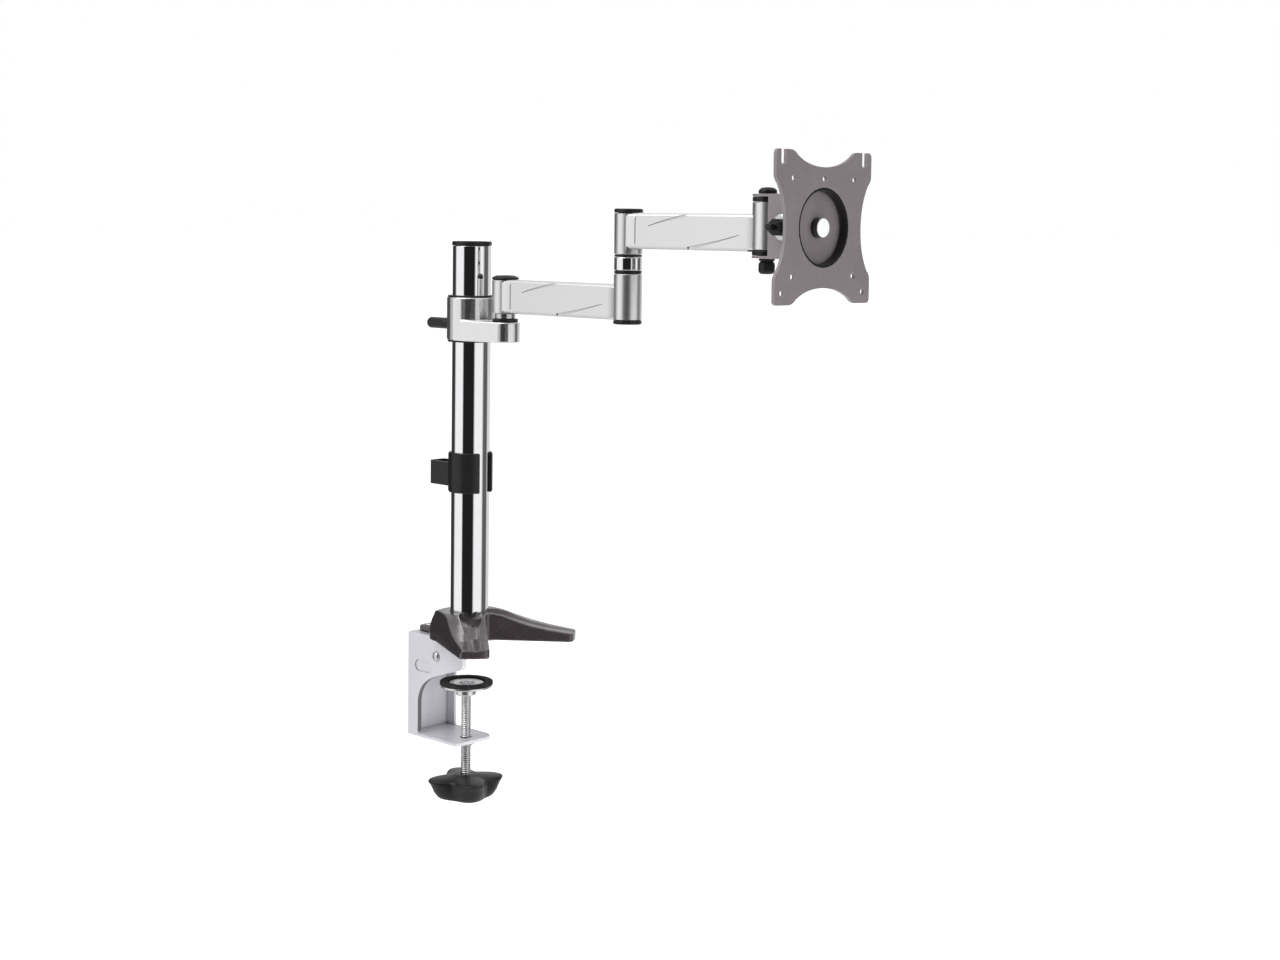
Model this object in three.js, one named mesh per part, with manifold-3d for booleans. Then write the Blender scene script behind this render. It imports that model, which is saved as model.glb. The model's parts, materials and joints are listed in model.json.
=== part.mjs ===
// Pole-mounted monitor arm with a desk clamp: two folding links, a pan and tilt head and a VESA plate.
// Millimetres, +Z up. Origin: pole axis at the underside of the foot. The arm points along -Y.
import * as THREE from "three";
import { mergeVertices } from "three/addons/utils/BufferGeometryUtils.js";
import Module from "manifold-3d";

const wasm = await Module();
wasm.setup();

// ---- driving dimensions ------------------------------------------------------------------------
const GAP = 0.3; // running gap left between neighbouring pieces
const WIDE = 32; // sides on the rounds about the pole and on the dish
const FINE = 24; // sides on large round pieces
const SMALL = 12; // sides on small round pieces

const POLE_R = 17.5;
const POLE_WALL = 2;
const POLE_TOP = 359.6;
const POLE_FOOT = 6.5;

const PIVOT_Y = -45; // lower arm pivot
const LINK = 151.7; // pivot to pivot, both links
const ELBOW_Y = PIVOT_Y - LINK;
const WRIST_Y = ELBOW_Y - LINK;
const TUBE_R = 12; // round bosses of the links
const BEAM_W = 19;
const BEAM_H = 30;
const LOWER_Z = 300.2; // underside of the lower link
const UPPER_Z = 360.6; // underside of the upper link

const COLLAR_R = 22.5;
const COLLAR_BOTTOM = 273.6;
const COLLAR_STEP = 292.2; // top of the bracket arm
const COLLAR_TOP = 313.5;

const FOOT_H = 24.5;
const LEG_ANGLE = 39; // each leg, degrees away from the arm direction
const LEG_R = 97;
const LEG_HALF = 13.4;

const SHEET = 2.6; // clamp bracket thickness
const GUSSET_T = 4.6; // thickness of its deep side
const BRACKET_HALF = 24;
const BRACKET_BACK = 58;
const JAW_FRONT = -11;
const JAW_TOP = -94.5;
const GUSSET_FRONT = -18;
const GUSSET_DEPTH = 25;
const STRIP_Y = 44; // front edge of the narrow side flange

const SCREW_Y = 3.4;
const ROD_R = 4.6;
const PAD_TOP = -41.5;
const PAD_R = 24.6;
const PAD_INNER = 17.4;
const KNOB_TOP = -128.6;
const KNOB_BOTTOM = -150.5;
const KNOB_R = 35;
const KNOB_TURN = -24; // degrees, direction of one lobe

const CLIP_BOTTOM = 134.8;
const CLIP_TOP = 171.2;
const CLIP_R = 20.4;

const TILT_Y = WRIST_Y - 27.5;
const HEAD_Z = 380.4; // tilt axis and plate centre
const CHEEK_IN = 12.6;
const CHEEK_OUT = 15.1;
const PLATE_Y = -405; // front plane of the plate
const PLATE_T = 2.6;
const PLATE_HALF = 59;
const VESA_75 = 37.5;
const VESA_100 = 50;
const DISH_R = 31;
const DISH_DEPTH = 7;

// ---- materials ---------------------------------------------------------------------------------
const material = (color, roughness, metalness) =>
  new THREE.MeshStandardMaterial({ color, roughness, metalness });
const chrome = material(0xe8e8ea, 0.08, 1);
const castSilver = material(0xcfcfd1, 0.38, 0.9);
const satin = material(0xd9d9db, 0.3, 0.9);
const bracketSilver = material(0xc9c8d2, 0.42, 0.8);
const darkCast = material(0x4a4143, 0.4, 0.6);
const plateGrey = material(0x8d878b, 0.5, 0.5);
const black = material(0x16161a, 0.45, 0);
const rubber = material(0x1a1a1a, 0.85, 0);
const zinc = material(0xb9babd, 0.3, 1);

// ---- solids ------------------------------------------------------------------------------------
/** A closed geometry as a solid: shared vertices merged, empty triangles dropped, faces out. */
function solid(geometry) {
  geometry.deleteAttribute("normal");
  geometry.deleteAttribute("uv");
  const merged = mergeVertices(geometry, 1e-4);
  const corners = merged.index.array;
  const points = merged.attributes.position.array;
  const kept = [];
  let volume = 0;
  for (let i = 0; i < corners.length; i += 3) {
    const [a, b, c] = [corners[i], corners[i + 1], corners[i + 2]];
    if (a === b || b === c || c === a) continue;
    kept.push(a, b, c);
    const [p, q, r] = [a, b, c].map((n) => new THREE.Vector3().fromArray(points, 3 * n));
    volume += p.dot(q.cross(r));
  }
  if (volume < 0) kept.reverse();
  const vertProperties = new Float32Array(points);
  const triVerts = new Uint32Array(kept);
  return new wasm.Manifold(new wasm.Mesh({ numProp: 3, vertProperties, triVerts }));
}

/** A solid turned about Z from [radius, height] pairs. */
function turned(profile, sides = FINE) {
  const points = profile.map(([r, z]) => new THREE.Vector2(r, z));
  return solid(new THREE.LatheGeometry(points, sides).rotateX(Math.PI / 2));
}

/** A plain rod about Z. */
const rod = (r, low, high, sides = SMALL) =>
  turned([[0, low], [r, low], [r, high], [0, high]], sides);

/** A rod about Z with both rims rounded off by a chamfer. */
const chamferedRod = (r, low, high, edge, sides = SMALL) =>
  turned(
    [[0, low], [r - edge, low], [r, low + edge], [r, high - edge], [r - edge, high], [0, high]],
    sides,
  );

/** A sleeve about Z. */
const sleeve = (inner, outer, low, high, sides = SMALL) =>
  turned([[inner, low], [outer, low], [outer, high], [inner, high], [inner, low]], sides);

/** A low dome about Z standing on z = low. */
function dome(r, low, height, rim, sides = FINE) {
  const profile = [[0, low], [r, low], [r, low + rim]];
  for (let i = 1; i <= 5; i++) {
    const t = (i / 6) * (Math.PI / 2);
    profile.push([r * Math.cos(t), low + rim + (height - rim) * Math.sin(t)]);
  }
  profile.push([0, low + height]);
  return turned(profile, sides);
}

/** A box from its low and high corners. */
function block(low, high) {
  const size = high.map((v, i) => v - low[i]);
  const centre = high.map((v, i) => (v + low[i]) / 2);
  return solid(new THREE.BoxGeometry(...size).translate(...centre));
}

/** A flat outline in X and Y, standing from z = low to high. */
function prism(outline, low, high, curveSegments = 8) {
  const options = { depth: high - low, bevelEnabled: false, curveSegments };
  return solid(new THREE.ExtrudeGeometry(outline, options).translate(0, 0, low));
}

/** An outline given as (Y, Z), standing along X from low to high. */
function sidePrism(outline, low, high, curveSegments = 8) {
  const options = { depth: high - low, bevelEnabled: false, curveSegments };
  const geometry = new THREE.ExtrudeGeometry(outline, options);
  geometry.rotateX(Math.PI / 2).rotateZ(Math.PI / 2).translate(low, 0, 0);
  return solid(geometry);
}

/** An outline given as (X, Z), standing along Y from low to high. */
function frontPrism(outline, low, high, curveSegments = 8) {
  const options = { depth: high - low, bevelEnabled: false, curveSegments };
  const geometry = new THREE.ExtrudeGeometry(outline, options);
  geometry.rotateX(Math.PI / 2).translate(0, high, 0);
  return solid(geometry);
}

/** A rounded rectangle centred on (x, y). */
function roundedRect(x, y, width, height, r) {
  const shape = new THREE.Shape();
  const [w, h] = [width / 2, height / 2];
  shape.moveTo(x - w + r, y - h);
  shape.lineTo(x + w - r, y - h);
  shape.absarc(x + w - r, y - h + r, r, -Math.PI / 2, 0);
  shape.lineTo(x + w, y + h - r);
  shape.absarc(x + w - r, y + h - r, r, 0, Math.PI / 2);
  shape.lineTo(x - w + r, y + h);
  shape.absarc(x - w + r, y + h - r, r, Math.PI / 2, Math.PI);
  shape.lineTo(x - w, y - h + r);
  shape.absarc(x - w + r, y - h + r, r, Math.PI, 1.5 * Math.PI);
  return shape;
}

/** A solid through rings of points of one count, closed at both ends. */
function loft(rings) {
  const count = rings[0].length;
  const vertices = rings.flat(2);
  const faces = [];
  for (let k = 0; k < rings.length - 1; k++) {
    for (let i = 0; i < count; i++) {
      const [a, b] = [k * count + i, k * count + ((i + 1) % count)];
      faces.push(a, b, b + count, a, b + count, a + count);
    }
  }
  const last = (rings.length - 1) * count;
  const middle = (ring) => [0, 1, 2].map((n) => ring.reduce((sum, p) => sum + p[n], 0) / count);
  vertices.push(...middle(rings[0]), ...middle(rings.at(-1)));
  const [low, high] = [rings.length * count, rings.length * count + 1];
  for (let i = 0; i < count; i++) {
    const next = (i + 1) % count;
    faces.push(low, next, i, high, last + i, last + next);
  }
  const geometry = new THREE.BufferGeometry();
  geometry.setAttribute("position", new THREE.Float32BufferAttribute(vertices, 3));
  geometry.setIndex(faces);
  return solid(geometry);
}

const joined = (first, ...rest) => rest.reduce((whole, piece) => whole.add(piece), first);
const cut = (first, ...rest) => rest.reduce((whole, piece) => whole.subtract(piece), first);

// ---- the assembly ------------------------------------------------------------------------------
const arm = new THREE.Group();
arm.name = "monitor_arm";

/** A named mesh from a solid, placed at a point. */
function piece(name, shape, look, place = [0, 0, 0], parent = arm) {
  const { vertProperties, triVerts } = shape.getMesh();
  const geometry = new THREE.BufferGeometry();
  geometry.setAttribute("position", new THREE.BufferAttribute(vertProperties, 3));
  geometry.setIndex(new THREE.BufferAttribute(triVerts, 1));
  const mesh = new THREE.Mesh(geometry, look);
  mesh.name = name;
  mesh.position.set(...place);
  parent.add(mesh);
  return mesh;
}

const radians = THREE.MathUtils.degToRad;
const polar = (r, degrees) => [r * Math.sin(radians(degrees)), -r * Math.cos(radians(degrees))];

// ---- foot: a cast V with two legs and a tongue that runs back over the clamp -------------------
const TONGUE_HALF = 16;
const TONGUE_BACK = 54;
const TONGUE_H = 5.5;
const FOOT_BACK = 25;
const BRACKET_SCREWS = [-9, 9];
const BRACKET_SCREW_Y = 44;

/** The sole: blunt legs with straight outer edges, and a short square back under the tongue. */
function footOutline() {
  const [ux, uy] = polar(1, LEG_ANGLE);
  const at = (s, w) => [s * ux - w * uy, s * uy + w * ux]; // along the leg, outwards
  const r = 4;
  const half = new THREE.Path();
  half.moveTo(0, -24);
  half.quadraticCurveTo(4, -25, ...at(41, -LEG_HALF));
  half.lineTo(...at(LEG_R - r, -LEG_HALF));
  half.quadraticCurveTo(...at(LEG_R, -LEG_HALF), ...at(LEG_R + 0.6, -LEG_HALF + r));
  half.quadraticCurveTo(...at(LEG_R + 1.6, 0), ...at(LEG_R + 0.6, LEG_HALF - r));
  half.quadraticCurveTo(...at(LEG_R, LEG_HALF), ...at(LEG_R - r, LEG_HALF + 0.7));
  half.lineTo(37.5, 4);
  half.quadraticCurveTo(35.5, 20, 24, FOOT_BACK);
  const right = half.getPoints(5);
  const left = right.slice(1).reverse().map((p) => new THREE.Vector2(-p.x, p.y));
  return new THREE.Shape([...right, ...left]);
}

/** Height of the foot's top at a distance from the pole axis. */
const ROOF = [[27, FOOT_H], [35, 22.6], [44, 19], [58, 14.4], [75, 10.8], [97, 7.6], [112, 6]];
/** Along a leg: distance from the pole axis, height of the rim there and depth of the channel. */
const CHANNEL_RUN = [[12, FOOT_H, 4.2], [42, 19.8, 3.4], [66, 12.6, 2], [LEG_R + 12, 6.3, 1]];

/** A round-bottomed channel down the top of one leg, from the pole to the tip. */
function legChannel(side) {
  const r = 12;
  const count = 20;
  const rings = [];
  for (const [s, top, depth] of CHANNEL_RUN) {
    const [x, y] = polar(s, side * LEG_ANGLE);
    const [u, v] = polar(1, side * LEG_ANGLE + 90);
    const ring = [];
    for (let i = 0; i < count; i++) {
      const t = (i / count) * 2 * Math.PI;
      const across = r * Math.cos(t);
      ring.push([x + u * across, y + v * across, top - depth + r + r * Math.sin(t)]);
    }
    rings.push(ring);
  }
  return loft(rings);
}

/** What is cut away above the plane that rises inwards from the line between two edge points. */
function aboveDraft(from, to, inward, rise) {
  const along = new THREE.Vector3(...to).sub(new THREE.Vector3(...from)).normalize();
  const slope = new THREE.Vector3(...inward, rise);
  const up = along.clone().cross(slope).normalize();
  if (up.z < 0) up.negate();
  const across = up.clone().cross(along);
  const slab = new THREE.BoxGeometry(260, 200, 60).translate(0, 0, 30);
  const frame = new THREE.Matrix4().makeBasis(along, across, up).setPosition(...from);
  return solid(slab.applyMatrix4(frame));
}

function foot() {
  const roof = turned([[0, 0], [112, 0], ...ROOF.toReversed(), [0, FOOT_H]], WIDE);
  const tongue = prism(
    roundedRect(0, (FOOT_BACK + TONGUE_BACK) / 2 - 6, 2 * TONGUE_HALF, TONGUE_BACK - 13, 5),
    0,
    TONGUE_H,
  );
  let body = prism(footOutline(), 0, FOOT_H, 7).intersect(roof);
  const [ux, uy] = polar(1, LEG_ANGLE);
  const tipCorner = [LEG_R * ux - LEG_HALF * uy, LEG_R * uy + LEG_HALF * ux];
  for (const side of [-1, 1]) {
    const hub = [side * 37.5, 4, 9];
    const tip = [side * tipCorner[0], tipCorner[1], 3.4];
    body = cut(body, aboveDraft(hub, tip, [-side * 0.9, -0.43], 1.8), legChannel(side));
    const [x, y] = polar(LEG_R - 16, side * LEG_ANGLE);
    body = body.subtract(rod(10 + GAP, -1, 1.4, SMALL).translate(x, y, 0));
  }
  body = body.add(tongue);
  const socket = rod(POLE_R + GAP, POLE_FOOT - GAP, FOOT_H + 1, FINE);
  const boltHole = rod(5 + GAP, -1, FOOT_H, SMALL);
  const boltSeat = rod(9.3, -1, 3.6, SMALL);
  body = cut(body, socket, boltHole, boltSeat);
  for (const x of BRACKET_SCREWS) {
    body = body.subtract(rod(3 + GAP, -1, TONGUE_H + 1, SMALL).translate(x, BRACKET_SCREW_Y, 0));
  }
  return body;
}

piece("foot", foot(), darkCast);
for (const [name, side] of [["foot_pad_left", -1], ["foot_pad_right", 1]]) {
  const [x, y] = polar(LEG_R - 16, side * LEG_ANGLE);
  piece(name, chamferedRod(10, 0, 1.1, 0.3, SMALL), rubber, [x, y, 0]);
}

// ---- pole, with the plug and bolt that hold it to the foot -------------------------------------
piece("pole", sleeve(POLE_R - POLE_WALL, POLE_R, POLE_FOOT, POLE_TOP, WIDE), chrome);
const capShape = joined(
  chamferedRod(POLE_R + 0.6, POLE_TOP + GAP, POLE_TOP + 4.2, 0.9, WIDE),
  rod(POLE_R - POLE_WALL - GAP, POLE_TOP - 9, POLE_TOP + 1, FINE),
);
piece("pole_cap", cut(capShape, rod(12.5, POLE_TOP - 10, POLE_TOP - 1.5, SMALL)), black);
piece("pole_plug", sleeve(5 + GAP, POLE_R - POLE_WALL - GAP, POLE_FOOT, 30, SMALL), zinc);
const hexHead = (r, low, high) => rod(r, low, high, 6);
piece("pole_bolt", joined(hexHead(8.6, 0.3, 3.3), rod(5, 3, 27, SMALL)), zinc);

// ---- clamp bracket: top plate, back plate, one deep gusset, one narrow flange, lower jaw -------
function gussetOutline() {
  const outline = new THREE.Shape();
  outline.moveTo(BRACKET_BACK, -GAP);
  outline.lineTo(BRACKET_BACK, JAW_TOP - SHEET);
  outline.lineTo(STRIP_Y, JAW_TOP - SHEET);
  outline.lineTo(STRIP_Y, -66);
  outline.quadraticCurveTo(STRIP_Y, -45, 19, -36.8);
  outline.lineTo(GUSSET_FRONT + 5, -GUSSET_DEPTH - 1.2);
  outline.quadraticCurveTo(GUSSET_FRONT, -GUSSET_DEPTH, GUSSET_FRONT, -GUSSET_DEPTH + 5);
  outline.lineTo(GUSSET_FRONT, -GAP);
  return outline;
}

function jawOutline(front) {
  const outline = new THREE.Shape();
  const r = 13;
  outline.moveTo(-BRACKET_HALF, BRACKET_BACK);
  outline.lineTo(-BRACKET_HALF, front + 4);
  outline.absarc(-BRACKET_HALF + 4, front + 4, 4, Math.PI, 1.5 * Math.PI);
  outline.lineTo(BRACKET_HALF - r, front);
  outline.absarc(BRACKET_HALF - r, front + r, r, -Math.PI / 2, 0);
  outline.lineTo(BRACKET_HALF, BRACKET_BACK);
  return outline;
}

function clampBracket() {
  const inside = BRACKET_HALF - SHEET;
  const top = block([-BRACKET_HALF, GUSSET_FRONT, -GAP - SHEET], [BRACKET_HALF, BRACKET_BACK, -GAP]);
  const back = block(
    [-BRACKET_HALF, BRACKET_BACK - SHEET, JAW_TOP - SHEET],
    [BRACKET_HALF, BRACKET_BACK, -GAP],
  );
  const gusset = sidePrism(gussetOutline(), -BRACKET_HALF, GUSSET_T - BRACKET_HALF);
  const flange = block([inside, STRIP_Y, JAW_TOP - SHEET], [BRACKET_HALF, BRACKET_BACK, -GAP]);
  const jaw = prism(jawOutline(JAW_FRONT), JAW_TOP - SHEET, JAW_TOP);
  let body = joined(top, back, gusset, flange, jaw);
  const oval = roundedRect(36, -30, 24, 11, 5.4);
  const dimple = sidePrism(oval, -BRACKET_HALF - 1, -BRACKET_HALF + 0.8);
  body = body.subtract(dimple);
  body = body.subtract(rod(5.7, JAW_TOP - 5, JAW_TOP + 1, SMALL).translate(0, SCREW_Y, 0));
  const rivetHole = rod(2.5 + GAP, -GUSSET_T, GUSSET_T, 16).rotate([0, 90, 0]);
  body = body.subtract(rivetHole.translate(GUSSET_T / 2 - BRACKET_HALF, 18, -18));
  for (const x of BRACKET_SCREWS) {
    body = body.subtract(rod(3 + GAP, -8, 2, SMALL).translate(x, BRACKET_SCREW_Y, 0));
  }
  return body;
}

piece("clamp_bracket", clampBracket(), bracketSilver);
const rivet = joined(
  dome(4.2, BRACKET_HALF + GAP, 2.2, 0.5, SMALL),
  rod(2.5, BRACKET_HALF - GUSSET_T - 1, BRACKET_HALF + 0.6, 16),
).rotate([0, -90, 0]);
piece("bracket_rivet", rivet, zinc, [0, 18, -18]);
BRACKET_SCREWS.forEach((x, i) => {
  const screw = joined(
    cut(dome(5.2, TONGUE_H + GAP, 1.5, 0.5, SMALL), rod(2, TONGUE_H + 1, TONGUE_H + 6, 6)),
    rod(3, -5.5, TONGUE_H + 0.6, SMALL),
  );
  piece(`bracket_screw_${i + 1}`, screw, zinc, [x, BRACKET_SCREW_Y, 0]);
});
const nutShape = joined(
  hexHead(8.2, JAW_TOP - SHEET - GAP - 3.6, JAW_TOP - SHEET - GAP),
  rod(5.4, JAW_TOP - SHEET - GAP - 1, JAW_TOP, SMALL),
);
const nutBore = rod(ROD_R + GAP, JAW_TOP - 20, JAW_TOP + 5, SMALL);
piece("clamp_nut", cut(nutShape, nutBore), zinc, [0, SCREW_Y, 0]);

// ---- clamp pad, which the screw carries up and down --------------------------------------------
const padRubber = turned([
  [PAD_INNER, PAD_TOP - 3], [PAD_R, PAD_TOP - 3], [PAD_R, PAD_TOP - 0.8], [PAD_R - 0.8, PAD_TOP],
  [PAD_INNER + 0.8, PAD_TOP], [PAD_INNER, PAD_TOP - 0.8], [PAD_INNER, PAD_TOP - 3],
]);
piece("pad_rubber", padRubber, rubber, [0, SCREW_Y, 0]);
const DISC_TOP = PAD_TOP - 3 - GAP;
const padDisc = turned([
  [ROD_R - 1.3, DISC_TOP - 2], [PAD_R - 0.8, DISC_TOP - 2], [PAD_R - 0.2, DISC_TOP - 1],
  [PAD_R - 0.6, DISC_TOP], [PAD_INNER - 0.5, DISC_TOP], [PAD_INNER - 1, DISC_TOP + 1.6],
  [8.4, DISC_TOP + 1.2], [7.2, DISC_TOP - 0.6], [ROD_R - 1.3, DISC_TOP - 0.6],
  [ROD_R - 1.3, DISC_TOP - 2],
]);
piece("pad_disc", padDisc, satin, [0, SCREW_Y, 0]);
const SOCKET_TOP = DISC_TOP - 2 - GAP;
const padSocket = turned([
  [ROD_R + GAP, SOCKET_TOP - 7.5], [8.6, SOCKET_TOP - 7.5], [9.6, SOCKET_TOP - 6.3],
  [9.6, SOCKET_TOP - 2.5], [12.5, SOCKET_TOP - 1.4], [12.5, SOCKET_TOP],
  [ROD_R + GAP, SOCKET_TOP], [ROD_R + GAP, SOCKET_TOP - 7.5],
]);
piece("pad_socket", padSocket, satin, [0, SCREW_Y, 0]);

// ---- clamp screw: rod, end screw and star knob -------------------------------------------------
const clampRod = joined(
  chamferedRod(ROD_R, KNOB_TOP - 12, SOCKET_TOP - 0.5, 0.6, SMALL),
  rod(ROD_R - 1.6, SOCKET_TOP - 2, DISC_TOP - 0.2, SMALL),
);
piece("clamp_rod", clampRod, zinc, [0, SCREW_Y, 0]);
const endScrew = cut(
  dome(4.6, DISC_TOP + 0.1, 2, 0.7, SMALL),
  block([-0.5, -6, DISC_TOP + 1.2], [0.5, 6, DISC_TOP + 4]),
);
piece("pad_end_screw", endScrew, zinc, [0, SCREW_Y, 0]);

function starKnob() {
  const sides = 40;
  const height = KNOB_TOP - KNOB_BOTTOM;
  const lobe = (t) => Math.cos(2 * (t - radians(KNOB_TURN))) ** 2;
  const layer = (z, waist, tip) => {
    const ring = [];
    for (let i = 0; i < sides; i++) {
      const t = (i / sides) * 2 * Math.PI;
      const r = waist + (tip - waist) * lobe(t);
      ring.push([r * Math.cos(t), r * Math.sin(t), KNOB_BOTTOM + z * height]);
    }
    return ring;
  };
  const body = loft([
    layer(0, 18.5, 23), layer(0.05, 21, 26), layer(0.3, 22.5, 30), layer(0.6, 23, KNOB_R - 2),
    layer(0.72, 22.6, KNOB_R), layer(0.79, 21.6, KNOB_R + 0.4), layer(0.85, 19.6, KNOB_R - 1.6),
    layer(0.9, 16, 27), layer(0.95, 12, 15), layer(1, 8.8, 9.2),
  ]);
  return cut(body, rod(ROD_R + GAP, KNOB_TOP - 12 - GAP, KNOB_TOP + 2, SMALL));
}

piece("clamp_knob", starKnob(), black, [0, SCREW_Y, 0]);

// ---- cable clip: a split ring on the pole with an open channel for cables behind ---------------
const CLIP_TURN = 7; // degrees
const CLIP_OPENING = 24; // degrees either side
const CHANNEL_HIGH = CLIP_BOTTOM + 25.6;
const CHANNEL_LOW = CLIP_BOTTOM + 3.8;
const CHANNEL = { half: 9, front: 20.6, back: 47, wall: 2.2, low: CHANNEL_LOW, high: CHANNEL_HIGH };

function clipRing() {
  const ring = turned([
    [POLE_R + GAP, CLIP_BOTTOM + 0.5], [POLE_R + 0.8, CLIP_BOTTOM], [CLIP_R - 0.8, CLIP_BOTTOM],
    [CLIP_R, CLIP_BOTTOM + 1.4], [CLIP_R, CLIP_TOP - 1.4], [CLIP_R - 0.8, CLIP_TOP],
    [POLE_R + 0.8, CLIP_TOP], [POLE_R + GAP, CLIP_TOP - 0.5], [POLE_R + GAP, CLIP_BOTTOM + 0.5],
  ], WIDE);
  const wedge = new THREE.Shape();
  wedge.moveTo(0, 0);
  wedge.lineTo(...polar(60, CLIP_TURN - CLIP_OPENING));
  wedge.lineTo(...polar(60, CLIP_TURN + CLIP_OPENING));
  return ring.subtract(prism(wedge, CLIP_BOTTOM - 1, CLIP_TOP + 1));
}

function cableClip() {
  const { half, front, back, wall, low, high } = CHANNEL;
  const depth = back - front + wall;
  const outer = roundedRect(0, front - wall + depth / 2, 2 * half, depth, 3);
  const inner = roundedRect(0, (front + back - wall) / 2, 2 * (half - wall), back - wall - front, 2);
  const slot = block([half - wall - 1, back - 15, low - 1], [half + 1, back - 7, high + 1]);
  const channel = cut(prism(outer, low, high), prism(inner, low - 1, high + 1), slot);
  const clear = rod(POLE_R + GAP, CLIP_BOTTOM - 2, CLIP_TOP + 2, WIDE);
  return clipRing().add(cut(channel, clear));
}

piece("cable_clip", cableClip(), black);

// ---- collar: plastic bushes slide on the pole, the casting turns on them -----------------------
const BUSH_R = POLE_R + 2;
const LOCK_Z = 287.6;
const LIP_R = COLLAR_R - 0.8;

/** A bush on the pole between z = low and high, with its lip between z = under and over. */
const bush = (low, high, under, over) =>
  sleeve(POLE_R + GAP, BUSH_R, low, high, WIDE).add(sleeve(POLE_R + GAP, LIP_R, under, over, WIDE));
const [BUSH_LOW, BUSH_HIGH] = [COLLAR_BOTTOM - 1.2, COLLAR_TOP + 1.2];
piece("collar_bush_top", bush(COLLAR_TOP - 15, BUSH_HIGH, COLLAR_TOP, BUSH_HIGH), black);
piece("collar_bush_bottom", bush(BUSH_LOW, COLLAR_BOTTOM + 8, BUSH_LOW, COLLAR_BOTTOM), black);

const COLLAR_LOW = COLLAR_BOTTOM + GAP;
const COLLAR_HIGH = COLLAR_TOP - GAP;
const BOSS_R = 13.2;

function collar() {
  const ring = turned([
    [0, COLLAR_LOW], [COLLAR_R - 1, COLLAR_LOW], [COLLAR_R, COLLAR_LOW + 1],
    [COLLAR_R, COLLAR_HIGH - 0.8], [COLLAR_R - 0.8, COLLAR_HIGH], [0, COLLAR_HIGH],
  ], WIDE);
  const boss = chamferedRod(BOSS_R, COLLAR_LOW, COLLAR_STEP, 0.8, FINE).translate(0, PIVOT_Y, 0);
  const web = new THREE.Shape();
  web.moveTo(-COLLAR_R + 0.4, 0);
  web.lineTo(-COLLAR_R + 2, -14);
  web.lineTo(-BOSS_R + 0.3, PIVOT_Y);
  web.lineTo(BOSS_R - 0.3, PIVOT_Y);
  web.lineTo(COLLAR_R - 2, -14);
  web.lineTo(COLLAR_R - 0.4, 0);
  const neck = prism(web, COLLAR_LOW, COLLAR_STEP);
  const lockBoss = chamferedRod(7.5, 0, COLLAR_R + 1.6, 0.6, SMALL).rotate([-90, 0, 0]);
  const lockHole = rod(4 + GAP, 0, COLLAR_R + 5, SMALL).rotate([-90, 0, 0]);
  const plainBore = turned([
    [0, COLLAR_LOW - 1], [BUSH_R + GAP, COLLAR_LOW - 1], [BUSH_R + GAP, COLLAR_HIGH + 1],
    [0, COLLAR_HIGH + 1],
  ], WIDE);
  const pivotHole = rod(4 + GAP, COLLAR_LOW - 1, COLLAR_STEP + 1, SMALL).translate(0, PIVOT_Y, 0);
  const headSeat = rod(8, COLLAR_LOW - 1, COLLAR_LOW + 5.5, SMALL).translate(0, PIVOT_Y, 0);
  const body = joined(ring, boss, neck, lockBoss.translate(0, 0, LOCK_Z));
  return cut(body, plainBore, pivotHole, headSeat, lockHole.translate(0, 0, LOCK_Z));
}

piece("collar", collar(), castSilver);
const PIVOT_TOP = LOWER_Z + BEAM_H - 6;
const lowerBolt = joined(
  hexHead(7.2, COLLAR_LOW + 0.4, COLLAR_LOW + 5.2),
  rod(4, COLLAR_LOW + 5, PIVOT_TOP, SMALL),
);
piece("lower_pivot_bolt", lowerBolt, zinc, [0, PIVOT_Y, 0]);
piece(
  "lower_friction_ring",
  sleeve(4 + GAP, TUBE_R - 0.4, COLLAR_STEP + GAP, COLLAR_STEP + 2.9, FINE),
  black,
  [0, PIVOT_Y, 0],
);

// ---- lock screw: a stud through the collar wall with a moulded handle --------------------------
const lockScrew = new THREE.Group();
lockScrew.position.set(0, 0, LOCK_Z);
lockScrew.rotation.x = -Math.PI / 2;
arm.add(lockScrew);
const HANDLE_START = COLLAR_R + 1.6 + GAP;
const HANDLE_END = 58;
piece("lock_stud", rod(4, POLE_R + GAP, HANDLE_START + 14, SMALL), zinc, [0, 0, 0], lockScrew);

function lockHandle() {
  const body = turned([
    [0, HANDLE_START], [5.2, HANDLE_START], [5.6, HANDLE_START + 0.6], [5.6, HANDLE_START + 4],
    [4.6, HANDLE_START + 5], [4.6, HANDLE_START + 7], [5, HANDLE_START + 9],
    [5.1, HANDLE_END - 3], [4.7, HANDLE_END - 1], [3.6, HANDLE_END], [0, HANDLE_END],
  ], SMALL);
  return cut(body, rod(4 + GAP, 0, HANDLE_START + 14 + GAP, SMALL));
}

piece("lock_handle", lockHandle(), black, [0, 0, 0], lockScrew);

// ---- links -------------------------------------------------------------------------------------
const RECESS = 0.5; // depth of the sunk side panels
const SLASH = 1.5; // depth of the curved slashes
/** The two slashes of a side panel: thin end and thick end, as reach from the pivot and height. */
const SLASHES = [[[31, 19.4], [74, 28.4]], [[130, 13], [75, 1.6]]];

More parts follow.
